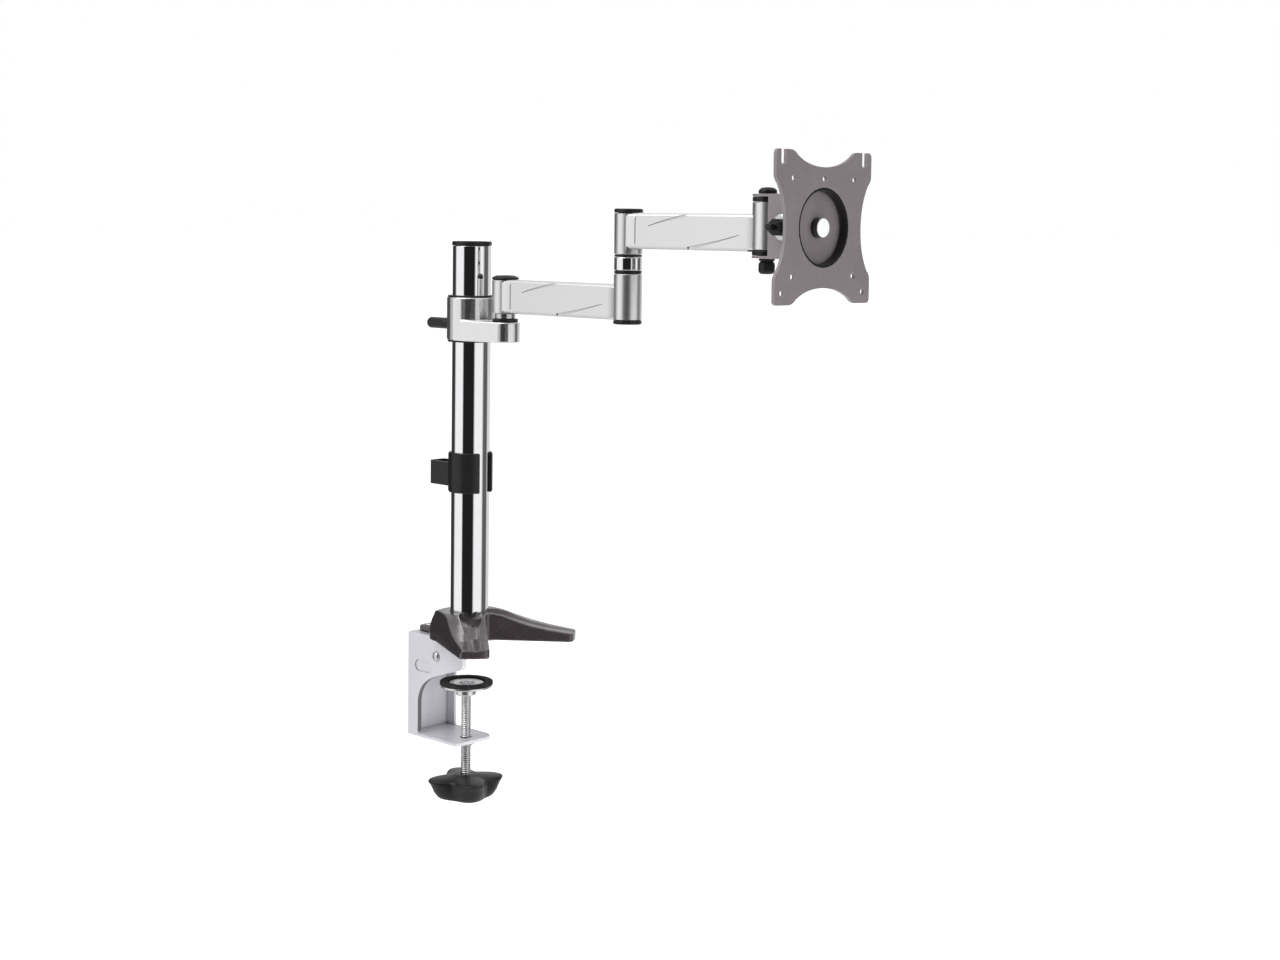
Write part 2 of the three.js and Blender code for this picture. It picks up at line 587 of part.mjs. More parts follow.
/** A blade-shaped slash that grows from its thin end to its thick end in a slight curve. */
function slash([y, z], [y2, z2]) {
  const thin = new THREE.Vector2(y, z);
  const thick = new THREE.Vector2(y2, z2);
  const middle = thin.clone().add(thick).multiplyScalar(0.5);
  const along = thick.clone().sub(thin).normalize();
  const n = new THREE.Vector2(-along.y, along.x);
  const off = (point, width) => point.clone().addScaledVector(n, width).toArray();
  const shape = new THREE.Shape();
  shape.moveTo(...off(thin, 0.25));
  shape.quadraticCurveTo(...off(middle, -0.4), ...off(thick, 1.2));
  shape.lineTo(...off(thick, -1.2));
  shape.quadraticCurveTo(...off(middle, -2.2), ...off(thin, -0.25));
  return shape;
}

/** The sunk panel and the slashes of a beam, for one side (+1 or -1). */
function sideDetail(side, low, from, start, end) {
  const face = BEAM_W / 2;
  const sink = (outline, depth, segments) =>
    side < 0
      ? sidePrism(outline, -face - 1, -face + depth, segments)
      : sidePrism(outline, face - depth, face + 1, segments);
  const panel = roundedRect((start + end) / 2, low + BEAM_H / 2, start - end, BEAM_H - 4.4, 3.5);
  const place = ([reach, rise]) => [from - reach, low + rise];
  const slashes = SLASHES.map(([thin, thick]) => sink(slash(place(thin), place(thick)), SLASH, 5));
  return joined(sink(panel, RECESS, 8), ...slashes);
}

/** A link: a beam between two round bosses, the second one with its own low and high. */
function link(low, from, to, near, far) {
  const section = roundedRect(0, low + BEAM_H / 2, BEAM_W, BEAM_H, 3.2);
  const beam = frontPrism(section, to, from, 5);
  const nearBoss = chamferedRod(TUBE_R, near[0], near[1], 0.7, FINE).translate(0, from, 0);
  const farBoss = chamferedRod(TUBE_R, far[0], far[1], 0.7, FINE).translate(0, to, 0);
  const start = from - TUBE_R - 4;
  const end = to + TUBE_R + 3;
  return cut(
    joined(beam, nearBoss, farBoss),
    sideDetail(-1, low, from, start, end),
    sideDetail(1, low, from, start, end),
  );
}

const lowerLink = link(
  LOWER_Z, PIVOT_Y, ELBOW_Y,
  [LOWER_Z, LOWER_Z + BEAM_H], [LOWER_Z, LOWER_Z + 39.2],
);
const lowerBore = joined(
  rod(7.6, LOWER_Z - 1, LOWER_Z + 18, SMALL),
  rod(4 + GAP, LOWER_Z, LOWER_Z + BEAM_H, SMALL),
  rod(9, LOWER_Z + 20.5, LOWER_Z + BEAM_H + 1, SMALL),
);
const ELBOW_TOP = LOWER_Z + 39.2; // top of the lower link's end tube
const elbowLowBore = joined(
  rod(9, LOWER_Z - 1, LOWER_Z + 7, SMALL),
  rod(5 + GAP, LOWER_Z, ELBOW_TOP + 1, SMALL),
  rod(7.6, LOWER_Z + 12, ELBOW_TOP + 1, SMALL),
);
piece(
  "lower_arm",
  cut(lowerLink, lowerBore.translate(0, PIVOT_Y, 0), elbowLowBore.translate(0, ELBOW_Y, 0)),
  castSilver,
);
const pivotBush = (bore, low, high) => sleeve(bore + GAP, 7.6 - GAP, low, high, SMALL);
const neckSleeve = joined(
  sleeve(4 + GAP, 7.3, COLLAR_STEP + 3.2, LOWER_Z + 17.6, SMALL),
  sleeve(4 + GAP, 9.4, COLLAR_STEP + 3.2, LOWER_Z - GAP, SMALL),
);
piece("lower_pivot_bush", neckSleeve, zinc, [0, PIVOT_Y, 0]);
const hexNut = (bore, r, low, high) =>
  cut(hexHead(r, low, high), rod(bore + GAP, low - 1, high + 1, SMALL));
piece(
  "lower_pivot_nut",
  hexNut(4, 7.4, LOWER_Z + 20.8, LOWER_Z + 26),
  zinc,
  [0, PIVOT_Y, 0],
);
const plugCap = (low, height, spigot) =>
  joined(dome(TUBE_R + 0.2, low, height, 1.2, FINE), rod(9 - GAP, low - spigot, low + 0.6, SMALL));
piece("lower_pivot_cap", plugCap(LOWER_Z + BEAM_H + GAP, 3.8, 2.8), black, [0, PIVOT_Y, 0]);
const elbowUnderCap = joined(
  chamferedRod(TUBE_R + 0.1, LOWER_Z - 3.4, LOWER_Z - GAP, 0.8, FINE),
  rod(9 - GAP, LOWER_Z - 1, LOWER_Z + 2, SMALL),
);
piece("elbow_bottom_cap", elbowUnderCap, black, [0, ELBOW_Y, 0]);
piece("elbow_nut", hexNut(5, 8.2, LOWER_Z + 2.3, LOWER_Z + 6.7), zinc, [0, ELBOW_Y, 0]);
piece("elbow_bush_lower", pivotBush(5, LOWER_Z + 12.3, ELBOW_TOP - 0.5), black, [0, ELBOW_Y, 0]);

// ---- elbow stack and upper link ----------------------------------------------------------------
const SLEEVE_LOW = 342.4;
const SLEEVE_HIGH = 353.4;
const UPPER_BOSS_LOW = 355.8;
piece(
  "elbow_ring_lower",
  sleeve(5 + GAP, TUBE_R - 0.4, ELBOW_TOP + GAP, SLEEVE_LOW - GAP, FINE),
  black,
  [0, ELBOW_Y, 0],
);
const chromeSleeve = turned([
  [5 + GAP, SLEEVE_LOW], [TUBE_R - 0.5, SLEEVE_LOW], [TUBE_R, SLEEVE_LOW + 0.5],
  [TUBE_R, SLEEVE_HIGH - 0.5], [TUBE_R - 0.5, SLEEVE_HIGH], [5 + GAP, SLEEVE_HIGH],
  [5 + GAP, SLEEVE_LOW],
]);
piece("elbow_sleeve", chromeSleeve, chrome, [0, ELBOW_Y, 0]);
piece(
  "elbow_ring_upper",
  sleeve(5 + GAP, TUBE_R - 0.4, SLEEVE_HIGH + GAP, UPPER_BOSS_LOW - GAP, FINE),
  black,
  [0, ELBOW_Y, 0],
);
const UPPER_TOP = UPPER_Z + BEAM_H;
const WRIST_LOW = 362;
const WRIST_HIGH = 400.2;
const upperLink = link(
  UPPER_Z, ELBOW_Y, WRIST_Y,
  [UPPER_BOSS_LOW, UPPER_TOP], [WRIST_LOW, WRIST_HIGH],
);
const belowWrist = block([-BEAM_W, WRIST_Y - 20, UPPER_Z - 1], [BEAM_W, WRIST_Y + 13, WRIST_LOW]);
const elbowHighBore = joined(
  rod(5 + GAP, UPPER_BOSS_LOW - 1, UPPER_TOP + 1, SMALL),
  rod(9, UPPER_TOP - 9, UPPER_TOP + 1, SMALL),
);
const wristBore = joined(
  rod(7.6, WRIST_LOW - 1, WRIST_LOW + 14, SMALL),
  rod(4 + GAP, WRIST_LOW - 1, WRIST_HIGH + 1, SMALL),
  rod(7.6, WRIST_HIGH - 14, WRIST_HIGH + 1, SMALL),
);
piece(
  "upper_arm",
  cut(
    upperLink, belowWrist,
    elbowHighBore.translate(0, ELBOW_Y, 0), wristBore.translate(0, WRIST_Y, 0),
  ),
  castSilver,
);
const elbowBolt = joined(
  rod(5, LOWER_Z + 2.2, UPPER_TOP - 8, SMALL),
  rod(8.4, UPPER_TOP - 8.6, UPPER_TOP - 4, SMALL),
);
piece(
  "elbow_bolt",
  cut(elbowBolt, rod(3.4, UPPER_TOP - 6.5, UPPER_TOP, 6)),
  zinc,
  [0, ELBOW_Y, 0],
);
const elbowCap = joined(
  chamferedRod(TUBE_R + 0.2, UPPER_TOP + GAP, UPPER_TOP + 3.6, 1, FINE),
  rod(9 - GAP, UPPER_TOP - 3.4, UPPER_TOP + 1, SMALL),
);
piece("elbow_top_cap", elbowCap, black, [0, ELBOW_Y, 0]);
for (const [name, low] of [["wrist_bush_lower", WRIST_LOW + GAP], ["wrist_bush_upper", WRIST_HIGH - 13.7]]) {
  piece(name, pivotBush(4, low, low + 13.4), black, [0, WRIST_Y, 0]);
}

// ---- pan head: a folded bracket that turns on the wrist bolt -----------------------------------
const LUG_TOP = 406.4;
const LUG_LOW = 355.6;
const LUG_T = 2;
const WEB_Y = WRIST_Y - 13;
const CHEEK_FRONT = TILT_Y - 9;

function panBracket() {
  const lug = (low) => {
    const outline = new THREE.Shape();
    outline.absarc(0, WRIST_Y, TUBE_R, 0, Math.PI);
    outline.lineTo(-TUBE_R, WEB_Y - 1);
    outline.lineTo(TUBE_R, WEB_Y - 1);
    return prism(outline, low, low + LUG_T, 16);
  };
  const web = block([-CHEEK_OUT, WEB_Y - 2.5, LUG_LOW], [CHEEK_OUT, WEB_Y, LUG_TOP]);
  const side = new THREE.Shape();
  side.moveTo(WEB_Y, LUG_LOW);
  side.lineTo(WEB_Y, LUG_TOP);
  side.lineTo(CHEEK_FRONT + 9, LUG_TOP);
  side.quadraticCurveTo(CHEEK_FRONT, LUG_TOP, CHEEK_FRONT, LUG_TOP - 11);
  side.lineTo(CHEEK_FRONT, LUG_LOW + 11);
  side.quadraticCurveTo(CHEEK_FRONT, LUG_LOW, CHEEK_FRONT + 9, LUG_LOW);
  const cheeks = joined(
    sidePrism(side, -CHEEK_OUT, -CHEEK_IN, 6),
    sidePrism(side, CHEEK_IN, CHEEK_OUT, 6),
  );
  const pin = rod(4 + GAP, -20, 20, SMALL).rotate([0, 90, 0]).translate(0, TILT_Y, HEAD_Z);
  const bolt = rod(4 + GAP, LUG_LOW - 1, LUG_TOP + 1, SMALL).translate(0, WRIST_Y, 0);
  return cut(joined(web, lug(LUG_LOW), lug(LUG_TOP - LUG_T), cheeks), pin, bolt);
}

piece("pan_bracket", panBracket(), plateGrey);
const collarWasher = (low, high) => sleeve(4 + GAP, TUBE_R, low, high, FINE);
piece(
  "wrist_washer_upper",
  collarWasher(WRIST_HIGH + GAP, LUG_TOP - LUG_T - GAP),
  black,
  [0, WRIST_Y, 0],
);
piece(
  "wrist_washer_lower",
  collarWasher(LUG_LOW + LUG_T + GAP, WRIST_LOW - GAP),
  black,
  [0, WRIST_Y, 0],
);
const wristBolt = joined(
  rod(4, LUG_LOW - 7, LUG_TOP + 0.6, SMALL),
  hexHead(6.2, LUG_TOP + GAP, LUG_TOP + 2.4),
);
piece("wrist_bolt", wristBolt, zinc, [0, WRIST_Y, 0]);
const wristCap = cut(
  dome(7.4, LUG_TOP + GAP, 5.2, 1.6, SMALL),
  rod(6.2 + GAP, LUG_TOP - 1, LUG_TOP + 2.4 + GAP, 6),
);
piece("wrist_bolt_cap", wristCap, black, [0, WRIST_Y, 0]);

function capNut() {
  const top = LUG_LOW - GAP;
  const body = turned([
    [0, top - 12.2], [2.4, top - 11.8], [4.5, top - 10.6], [6, top - 8.6], [6.6, top - 6.2],
    [6.1, top - 3.8], [4.9, top - 2], [6.4, top - 1.6], [6.4, top], [0, top],
  ], FINE);
  return cut(body, rod(4 + GAP, LUG_LOW - 7 - GAP, top + 1, SMALL));
}

piece("wrist_cap_nut", capNut(), black, [0, WRIST_Y, 0]);

// ---- tilt block and its pin --------------------------------------------------------------------
const DISH_BACK = PLATE_Y + DISH_DEPTH + 2; // rear face of the plate's dish
const HUB_FRONT = DISH_BACK + GAP;

function tiltBlock() {
  const half = CHEEK_IN - 0.8;
  const barrel = chamferedRod(11, -half, half, 0.6, FINE).rotate([0, 90, 0]);
  const neckSection = roundedRect(0, HEAD_Z, 21, 20, 4);
  const neck = frontPrism(neckSection, HUB_FRONT + 3, TILT_Y, 4);
  const flange = chamferedRod(17, 0, 3.4, 0.6, FINE).rotate([90, 0, 0]);
  const body = joined(
    barrel.translate(0, TILT_Y, HEAD_Z), neck, flange.translate(0, HUB_FRONT + 3.4, HEAD_Z),
  );
  const pin = rod(4 + GAP, -20, 20, SMALL).rotate([0, 90, 0]).translate(0, TILT_Y, HEAD_Z);
  const spindle = rod(4 + GAP, 0, 13, SMALL).rotate([90, 0, 0]);
  return cut(body, pin, spindle.translate(0, HUB_FRONT + 12.6, HEAD_Z));
}

piece("tilt_block", tiltBlock(), plateGrey);
const tiltPin = new THREE.Group();
tiltPin.position.set(0, TILT_Y, HEAD_Z);
tiltPin.rotation.y = Math.PI / 2;
arm.add(tiltPin);
const pinShape = joined(
  rod(4, -CHEEK_OUT - 7.5, CHEEK_OUT + 0.6, SMALL),
  chamferedRod(7, CHEEK_OUT + GAP, CHEEK_OUT + 4.6, 0.7, SMALL),
);
const pinSocket = rod(2.6, CHEEK_OUT + 2.2, CHEEK_OUT + 6, 6);
piece("tilt_pin", cut(pinShape, pinSocket), zinc, [0, 0, 0], tiltPin);
for (const [name, side] of [["tilt_washer_left", -1], ["tilt_washer_right", 1]]) {
  const inner = CHEEK_IN - 0.8 + 0.15;
  const [low, high] = side < 0 ? [-inner - 0.5, -inner] : [inner, inner + 0.5];
  piece(name, sleeve(4 + GAP, 8, low, high, SMALL), zinc, [0, 0, 0], tiltPin);
}

// ---- tilt knob: a ribbed grip with a short stub, on a broad washer -----------------------------
const WASHER_OUT = CHEEK_OUT + GAP + 1.3;
const knobWasher = turned([
  [4 + GAP, -WASHER_OUT], [8.6, -WASHER_OUT], [10.4, 0.5 - WASHER_OUT], [10.4, -CHEEK_OUT - GAP],
  [4 + GAP, -CHEEK_OUT - GAP], [4 + GAP, -WASHER_OUT],
]);
piece("tilt_knob_washer", knobWasher, zinc, [0, 0, 0], tiltPin);

function tiltKnob() {
  const near = -WASHER_OUT - GAP;
  const grip = chamferedRod(6.6, near - 8.6, near, 0.7, SMALL);
  const ribs = [];
  for (let i = 0; i < 10; i++) {
    const t = (i / 10) * 2 * Math.PI;
    ribs.push(rod(1, near - 10, near - 1.4, 8).translate(7 * Math.cos(t), 7 * Math.sin(t), 0));
  }
  const stub = chamferedRod(2.9, near - 15.5, near - 8, 0.5, SMALL);
  return cut(joined(cut(grip, ...ribs), stub), rod(4 + GAP, near - 6.8, near + 1, SMALL));
}

piece("tilt_knob", tiltKnob(), black, [0, 0, 0], tiltPin);

// ---- VESA plate: dished centre, waisted sides, round and slotted holes -------------------------
/** A quarter of the plate's edge in the first quadrant, from the right waist to the top waist. */
function plateOutline() {
  const waist = 46.5;
  const ear = 38.5;
  const r = 3.5;
  const side = new THREE.Path();
  side.moveTo(waist, 0);
  side.quadraticCurveTo(waist, 19, PLATE_HALF - 4, 33);
  side.quadraticCurveTo(PLATE_HALF, 36.5, PLATE_HALF, ear + 2);
  side.lineTo(PLATE_HALF, PLATE_HALF - r);
  side.absarc(PLATE_HALF - r, PLATE_HALF - r, r, 0, Math.PI / 2);
  side.lineTo(42, PLATE_HALF);
  side.quadraticCurveTo(37, PLATE_HALF, 33, PLATE_HALF - 4);
  side.quadraticCurveTo(20, waist, 0, waist);
  const edge = side.getPoints(6);
  const whole = [];
  for (const [sx, sy, back] of [[1, 1, false], [-1, 1, true], [-1, -1, false], [1, -1, true]]) {
    const run = edge.map((p) => new THREE.Vector2(sx * p.x, sy * p.y));
    if (back) run.reverse();
    whole.push(...run.slice(1));
  }
  return new THREE.Shape(whole);
}

function vesaPlate() {
  const sheet = frontPrism(plateOutline(), PLATE_Y, PLATE_Y + PLATE_T, 8);
  // profiles below run along the plate's normal: 0 is the front plane, positive is backwards
  const dish = turned([
    [0, 0.4], [DISH_R + 2, 0.4], [DISH_R + 2, PLATE_T + 0.6], [DISH_R + 1, DISH_DEPTH],
    [DISH_R - 0.6, DISH_DEPTH + 2], [0, DISH_DEPTH + 2],
  ], WIDE).rotate([-90, 0, 0]);
  const hollow = turned([
    [0, -1], [DISH_R, -1], [DISH_R, 0.6], [DISH_R - 1, DISH_DEPTH - 0.8],
    [DISH_R - 2.2, DISH_DEPTH], [0, DISH_DEPTH],
  ], WIDE).rotate([-90, 0, 0]);
  const through = (r, sides = 24) => rod(r, -3, 12, sides).rotate([-90, 0, 0]);
  let body = sheet.translate(0, -PLATE_Y, 0).add(dish);
  body = cut(body, hollow, through(4 + GAP, SMALL));
  const holes = [[0, VESA_75]];
  for (const x of [-1, 1]) {
    holes.push([x * VESA_75, VESA_75], [x * VESA_75, -VESA_75], [x * VESA_100, -VESA_100]);
  }
  for (const [x, z] of holes) body = body.subtract(through(2.5).translate(x, 0, z));
  for (const x of [-VESA_100, VESA_100]) {
    const slot = joined(
      through(2.9).translate(x, 0, VESA_100),
      block([x - 2.9, -3, VESA_100], [x + 2.9, 12, PLATE_HALF + 2]),
    );
    body = body.subtract(slot);
  }
  return body;
}

piece("vesa_plate", vesaPlate(), plateGrey, [0, PLATE_Y, HEAD_Z]);
const plateAxis = new THREE.Group();
plateAxis.position.set(0, PLATE_Y, HEAD_Z);
plateAxis.rotation.x = -Math.PI / 2;
arm.add(plateAxis);
const plateWasher = sleeve(4 + GAP, 7.8, DISH_DEPTH - 1.3, DISH_DEPTH - GAP, SMALL);
piece("plate_washer", plateWasher, black, [0, 0, 0], plateAxis);
const dishRing = turned([
  [DISH_R - 1.9, 0.2], [DISH_R - GAP, 0.2], [DISH_R - GAP, 0.8], [DISH_R - 1 - GAP, DISH_DEPTH - 1.2],
  [DISH_R - 2.8, DISH_DEPTH - 1.2], [DISH_R - 1.9, 0.2],
], WIDE);
piece("dish_ring", dishRing, black, [0, 0, 0], plateAxis);
const spindleShape = joined(
  chamferedRod(7.4, 0.2, DISH_DEPTH - 1.6, 0.5, FINE),
  rod(4, DISH_DEPTH - 2, DISH_DEPTH + 13.6, SMALL),
);
piece("plate_spindle", spindleShape, satin, [0, 0, 0], plateAxis);

export default arm;
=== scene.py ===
"""Looks for the pole-mounted monitor arm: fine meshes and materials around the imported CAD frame."""
import json
import math

import bpy
from mathutils import Matrix, Vector


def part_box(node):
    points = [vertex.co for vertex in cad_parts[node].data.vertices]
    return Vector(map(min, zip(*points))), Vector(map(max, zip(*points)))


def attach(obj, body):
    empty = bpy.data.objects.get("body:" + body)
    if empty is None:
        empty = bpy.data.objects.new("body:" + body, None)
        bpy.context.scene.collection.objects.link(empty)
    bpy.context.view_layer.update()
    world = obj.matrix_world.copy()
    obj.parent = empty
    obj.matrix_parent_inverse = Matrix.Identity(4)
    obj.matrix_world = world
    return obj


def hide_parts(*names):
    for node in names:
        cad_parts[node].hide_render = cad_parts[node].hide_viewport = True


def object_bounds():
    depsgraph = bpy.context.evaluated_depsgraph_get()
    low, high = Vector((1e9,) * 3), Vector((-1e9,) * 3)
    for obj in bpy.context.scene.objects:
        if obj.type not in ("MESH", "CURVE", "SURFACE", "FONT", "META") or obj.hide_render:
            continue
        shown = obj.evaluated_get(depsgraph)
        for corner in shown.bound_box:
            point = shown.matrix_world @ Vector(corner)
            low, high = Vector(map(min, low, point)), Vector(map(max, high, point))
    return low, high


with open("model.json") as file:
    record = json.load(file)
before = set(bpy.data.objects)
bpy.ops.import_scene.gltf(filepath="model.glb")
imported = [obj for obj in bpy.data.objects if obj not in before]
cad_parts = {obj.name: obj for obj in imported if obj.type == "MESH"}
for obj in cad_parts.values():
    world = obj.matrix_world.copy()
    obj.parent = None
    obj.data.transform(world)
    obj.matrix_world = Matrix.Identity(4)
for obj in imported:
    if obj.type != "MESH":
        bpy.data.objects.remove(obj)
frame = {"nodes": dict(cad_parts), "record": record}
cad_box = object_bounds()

MM = 0.001
NODES = frame["nodes"]
BODY_OF = {n: body for body, names in frame["record"]["behaviour"]["bodies"].items() for n in names}

# ---- camera --------------------------------------------------------------------------------------
# angles in degrees, azimuths from the arm's direction; distances in metres; the lens in mm
CAMERA_AZIMUTH = -41.84
CAMERA_RANGE = 1.8297
CAMERA_HEIGHT = 0.3823
LOOK_AZIMUTH = -46.67
LOOK_DOWN = 3.69
CAMERA_ROLL = 0.74
LENS = 56.27
SHIFT_Y = -0.10


def compass(azimuth, elevation=0.0):
    """The unit vector at an azimuth from -Y towards +X, and an elevation, both in degrees."""
    a, e = math.radians(azimuth), math.radians(elevation)
    return Vector((math.sin(a) * math.cos(e), -math.cos(a) * math.cos(e), math.sin(e)))


def make_camera():
    camera = bpy.data.objects.new("camera", bpy.data.cameras.new("camera"))
    bpy.context.scene.collection.objects.link(camera)
    back = compass(LOOK_AZIMUTH, LOOK_DOWN)
    right = Vector((0, 0, 1)).cross(back).normalized()
    turn = Matrix((right, back.cross(right), back)).transposed().to_4x4()
    roll = Matrix.Rotation(math.radians(CAMERA_ROLL), 4, "Z")
    place = compass(CAMERA_AZIMUTH) * CAMERA_RANGE + Vector((0, 0, CAMERA_HEIGHT))
    camera.matrix_world = Matrix.Translation(place) @ turn @ roll
    camera.data.lens = LENS
    camera.data.shift_y = SHIFT_Y
    camera.data.clip_end = 200
    bpy.context.scene.camera = camera


make_camera()


# ---- material helpers ----------------------------------------------------------------------------
EDGE_GAIN = 6.0  # how fast the mask of worn edges rises


class Graph:
    """A Principled material, with short ways to add the nodes that vary it over the surface."""

    def __init__(self, name, **sockets):
        self.material = bpy.data.materials.new(name)
        self.material.use_nodes = True
        self.tree = self.material.node_tree
        self.shader = self.tree.nodes["Principled BSDF"]
        for key, value in sockets.items():
            self.shader.inputs[key.replace("_", " ")].default_value = value
        self.place = self.node("ShaderNodeTexCoord").outputs["Object"]
        self.normal = None

    def node(self, kind, inputs=None, **settings):
        made = self.tree.nodes.new(kind)
        for key, value in settings.items():
            setattr(made, key, value)
        for key, value in (inputs or {}).items():
            if isinstance(value, bpy.types.NodeSocket):
                self.tree.links.new(value, made.inputs[key])
            else:
                made.inputs[key].default_value = value
        return made

    def stretched(self, scale):
        return self.node("ShaderNodeMapping", {"Vector": self.place, "Scale": scale}).outputs[0]

    def noise(self, per_metre, detail, stretch=None):
        vector = self.stretched(stretch) if stretch else self.place
        inputs = {"Vector": vector, "Scale": per_metre, "Detail": detail}
        return self.node("ShaderNodeTexNoise", inputs).outputs["Fac"]

    def cells(self, per_metre, output="Distance"):
        inputs = {"Vector": self.place, "Scale": per_metre}
        return self.node("ShaderNodeTexVoronoi", inputs).outputs[output]

    def band(self, value, low, high, out_low, out_high):
        keys = ("Value", "From Min", "From Max", "To Min", "To Max")
        inputs = dict(zip(keys, (value, low, high, out_low, out_high)))
        return self.node("ShaderNodeMapRange", inputs).outputs[0]

    def math(self, operation, a, b=0.0):
        return self.node("ShaderNodeMath", {0: a, 1: b}, operation=operation).outputs[0]

    def mix(self, factor, a, b):
        made = self.node("ShaderNodeMix", {"Factor": factor}, data_type="RGBA")
        for socket, value in ((made.inputs[6], a), (made.inputs[7], b)):
            if isinstance(value, bpy.types.NodeSocket):
                self.tree.links.new(value, socket)
            else:
                socket.default_value = (*value, 1)
        return made.outputs[2]

    def edges(self, radius_mm):
        """0 on flats, rising along convex and concave edges within a radius."""
        soft = self.node("ShaderNodeBevel", {"Radius": radius_mm * MM}, samples=4)
        flat = self.node("ShaderNodeNewGeometry").outputs["Normal"]
        pair = {0: soft.outputs[0], 1: flat}
        dot = self.node("ShaderNodeVectorMath", pair, operation="DOT_PRODUCT").outputs["Value"]
        return self.math("MULTIPLY", self.math("SUBTRACT", 1.0, dot), EDGE_GAIN)

    def crevice_shade(self, reach_mm):
        """Ambient occlusion as a mask for painted shade: 0 in the open, up to 1 deep in grooves and
        beside neighbouring pieces.
        """
        made = self.node("ShaderNodeAmbientOcclusion", {"Distance": reach_mm * MM}, samples=6)
        return self.band(made.outputs["AO"], 0.25, 0.85, 1, 0)

    def bump(self, height, depth_mm):
        inputs = {"Height": height, "Distance": depth_mm * MM, "Strength": 1.0}
        if self.normal:
            inputs["Normal"] = self.normal
        self.normal = self.node("ShaderNodeBump", inputs).outputs[0]

    def finish(self, color, roughness):
        links = {"Base Color": color, "Roughness": roughness, "Normal": self.normal}
        for key, socket in links.items():
            if socket is not None:
                self.tree.links.new(socket, self.shader.inputs[key])
        return self.material


# ---- materials -----------------------------------------------------------------------------------
# where the painted shade on the gusset's cut edges lies, in mm from the low corner of the bracket's
# box
GUSSET_SHEET = 4.7
CUT_EDGE_BACK = 8
CUT_EDGE_RISE = 4


def chrome():
    g = Graph("chrome", Metallic=1.0)
    smudge = g.noise(38, 4)
    lines = g.noise(900, 3, (1, 1, 0.02))
    g.bump(lines, 0.0008)
    rough = g.math("ADD", g.band(smudge, 0.4, 0.7, 0.035, 0.09), g.band(lines, 0.55, 0.8, 0, 0.05))
    return g.finish(g.mix(smudge, (0.83, 0.83, 0.85), (0.90, 0.90, 0.91)), rough)


def cast_metal(name, smooth, rough):
    g = Graph(name, Metallic=1.0)
    cloud, grain = g.noise(14, 3), g.noise(2600, 2)
    pits = g.cells(900)
    g.bump(grain, 0.010)
    g.bump(g.band(pits, 0.0, 0.25, 0, 1), 0.003)
    body = g.mix(cloud, (0.76, 0.755, 0.76), (0.82, 0.815, 0.82))
    worn = g.band(g.edges(0.8), 0.05, 0.8, 0, 0.8)
    body = g.mix(worn, body, (0.9, 0.9, 0.9))
    # painted shade: grooves and the sides beside neighbouring pieces are darkened towards (0.16, 0.15,
    # 0.155)
    shaded_body = g.mix(g.math("MULTIPLY", g.crevice_shade(2.4), 0.85), body, (0.16, 0.15, 0.155))
    return g.finish(shaded_body, g.band(grain, 0.3, 0.7, smooth, rough))


def cast_silver():
    return cast_metal("cast_silver", 0.31, 0.41)


def collar_silver():
    return cast_metal("collar_silver", 0.23, 0.33)


def bracket_silver():
    """Painted sheet steel. The gusset's edges, cut across its sheet, get painted shade inside the jaw
    where they face -Y.
    """
    g = Graph("bracket_silver", Metallic=0.12, Coat_Weight=0.2, Coat_Roughness=0.2)
    peel, flake, cloud = g.noise(620, 2), g.cells(2400, "Color"), g.noise(18, 3)
    g.bump(peel, 0.010)
    body = g.mix(cloud, (0.46, 0.455, 0.49), (0.58, 0.575, 0.61))
    spark = g.band(g.node("ShaderNodeSeparateColor", {0: flake}).outputs[0], 0.6, 1, 0, 0.35)
    body = g.mix(spark, body, (0.80, 0.80, 0.84))
    worn = g.band(g.edges(0.9), 0.25, 1.0, 0, 0.6)
    body = g.mix(worn, body, (0.84, 0.84, 0.85))
    # painted shade: grooves and the sides beside neighbouring pieces are darkened towards (0.13,
    # 0.125, 0.14)
    body = g.mix(g.math("MULTIPLY", g.crevice_shade(3.0), 0.8), body, (0.13, 0.125, 0.14))
    true_normal = g.node("ShaderNodeNewGeometry").outputs["True Normal"]
    facing = g.node("ShaderNodeSeparateXYZ", {0: true_normal})
    spot = g.node("ShaderNodeSeparateXYZ", {0: g.place})
    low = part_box("clamp_bracket")[0]
    tests = (
        g.math("LESS_THAN", g.math("ABSOLUTE", facing.outputs[0]), 0.5),
        g.math("LESS_THAN", facing.outputs[1], -0.2),
        g.math("LESS_THAN", spot.outputs[0], low.x + GUSSET_SHEET * MM),
        g.math("GREATER_THAN", spot.outputs[1], low.y + CUT_EDGE_BACK * MM),
        g.math("GREATER_THAN", spot.outputs[2], low.z + CUT_EDGE_RISE * MM),
    )
    # painted shade: the gusset's cut edges that face -Y inside the jaw are turned near black
    painted_edge_shade = 0.85
    for test in tests:
        painted_edge_shade = g.math("MULTIPLY", test, painted_edge_shade)
    body = g.mix(painted_edge_shade, body, (0.05, 0.048, 0.055))
    return g.finish(body, g.band(peel, 0.3, 0.7, 0.28, 0.40))


ALL_BRIGHT = 1000  # mm, a height that no piece reaches, so that no painted shade is laid
# past this height the spindle head is painted black: painted shade on its sides
SPINDLE_FACE = 0.7


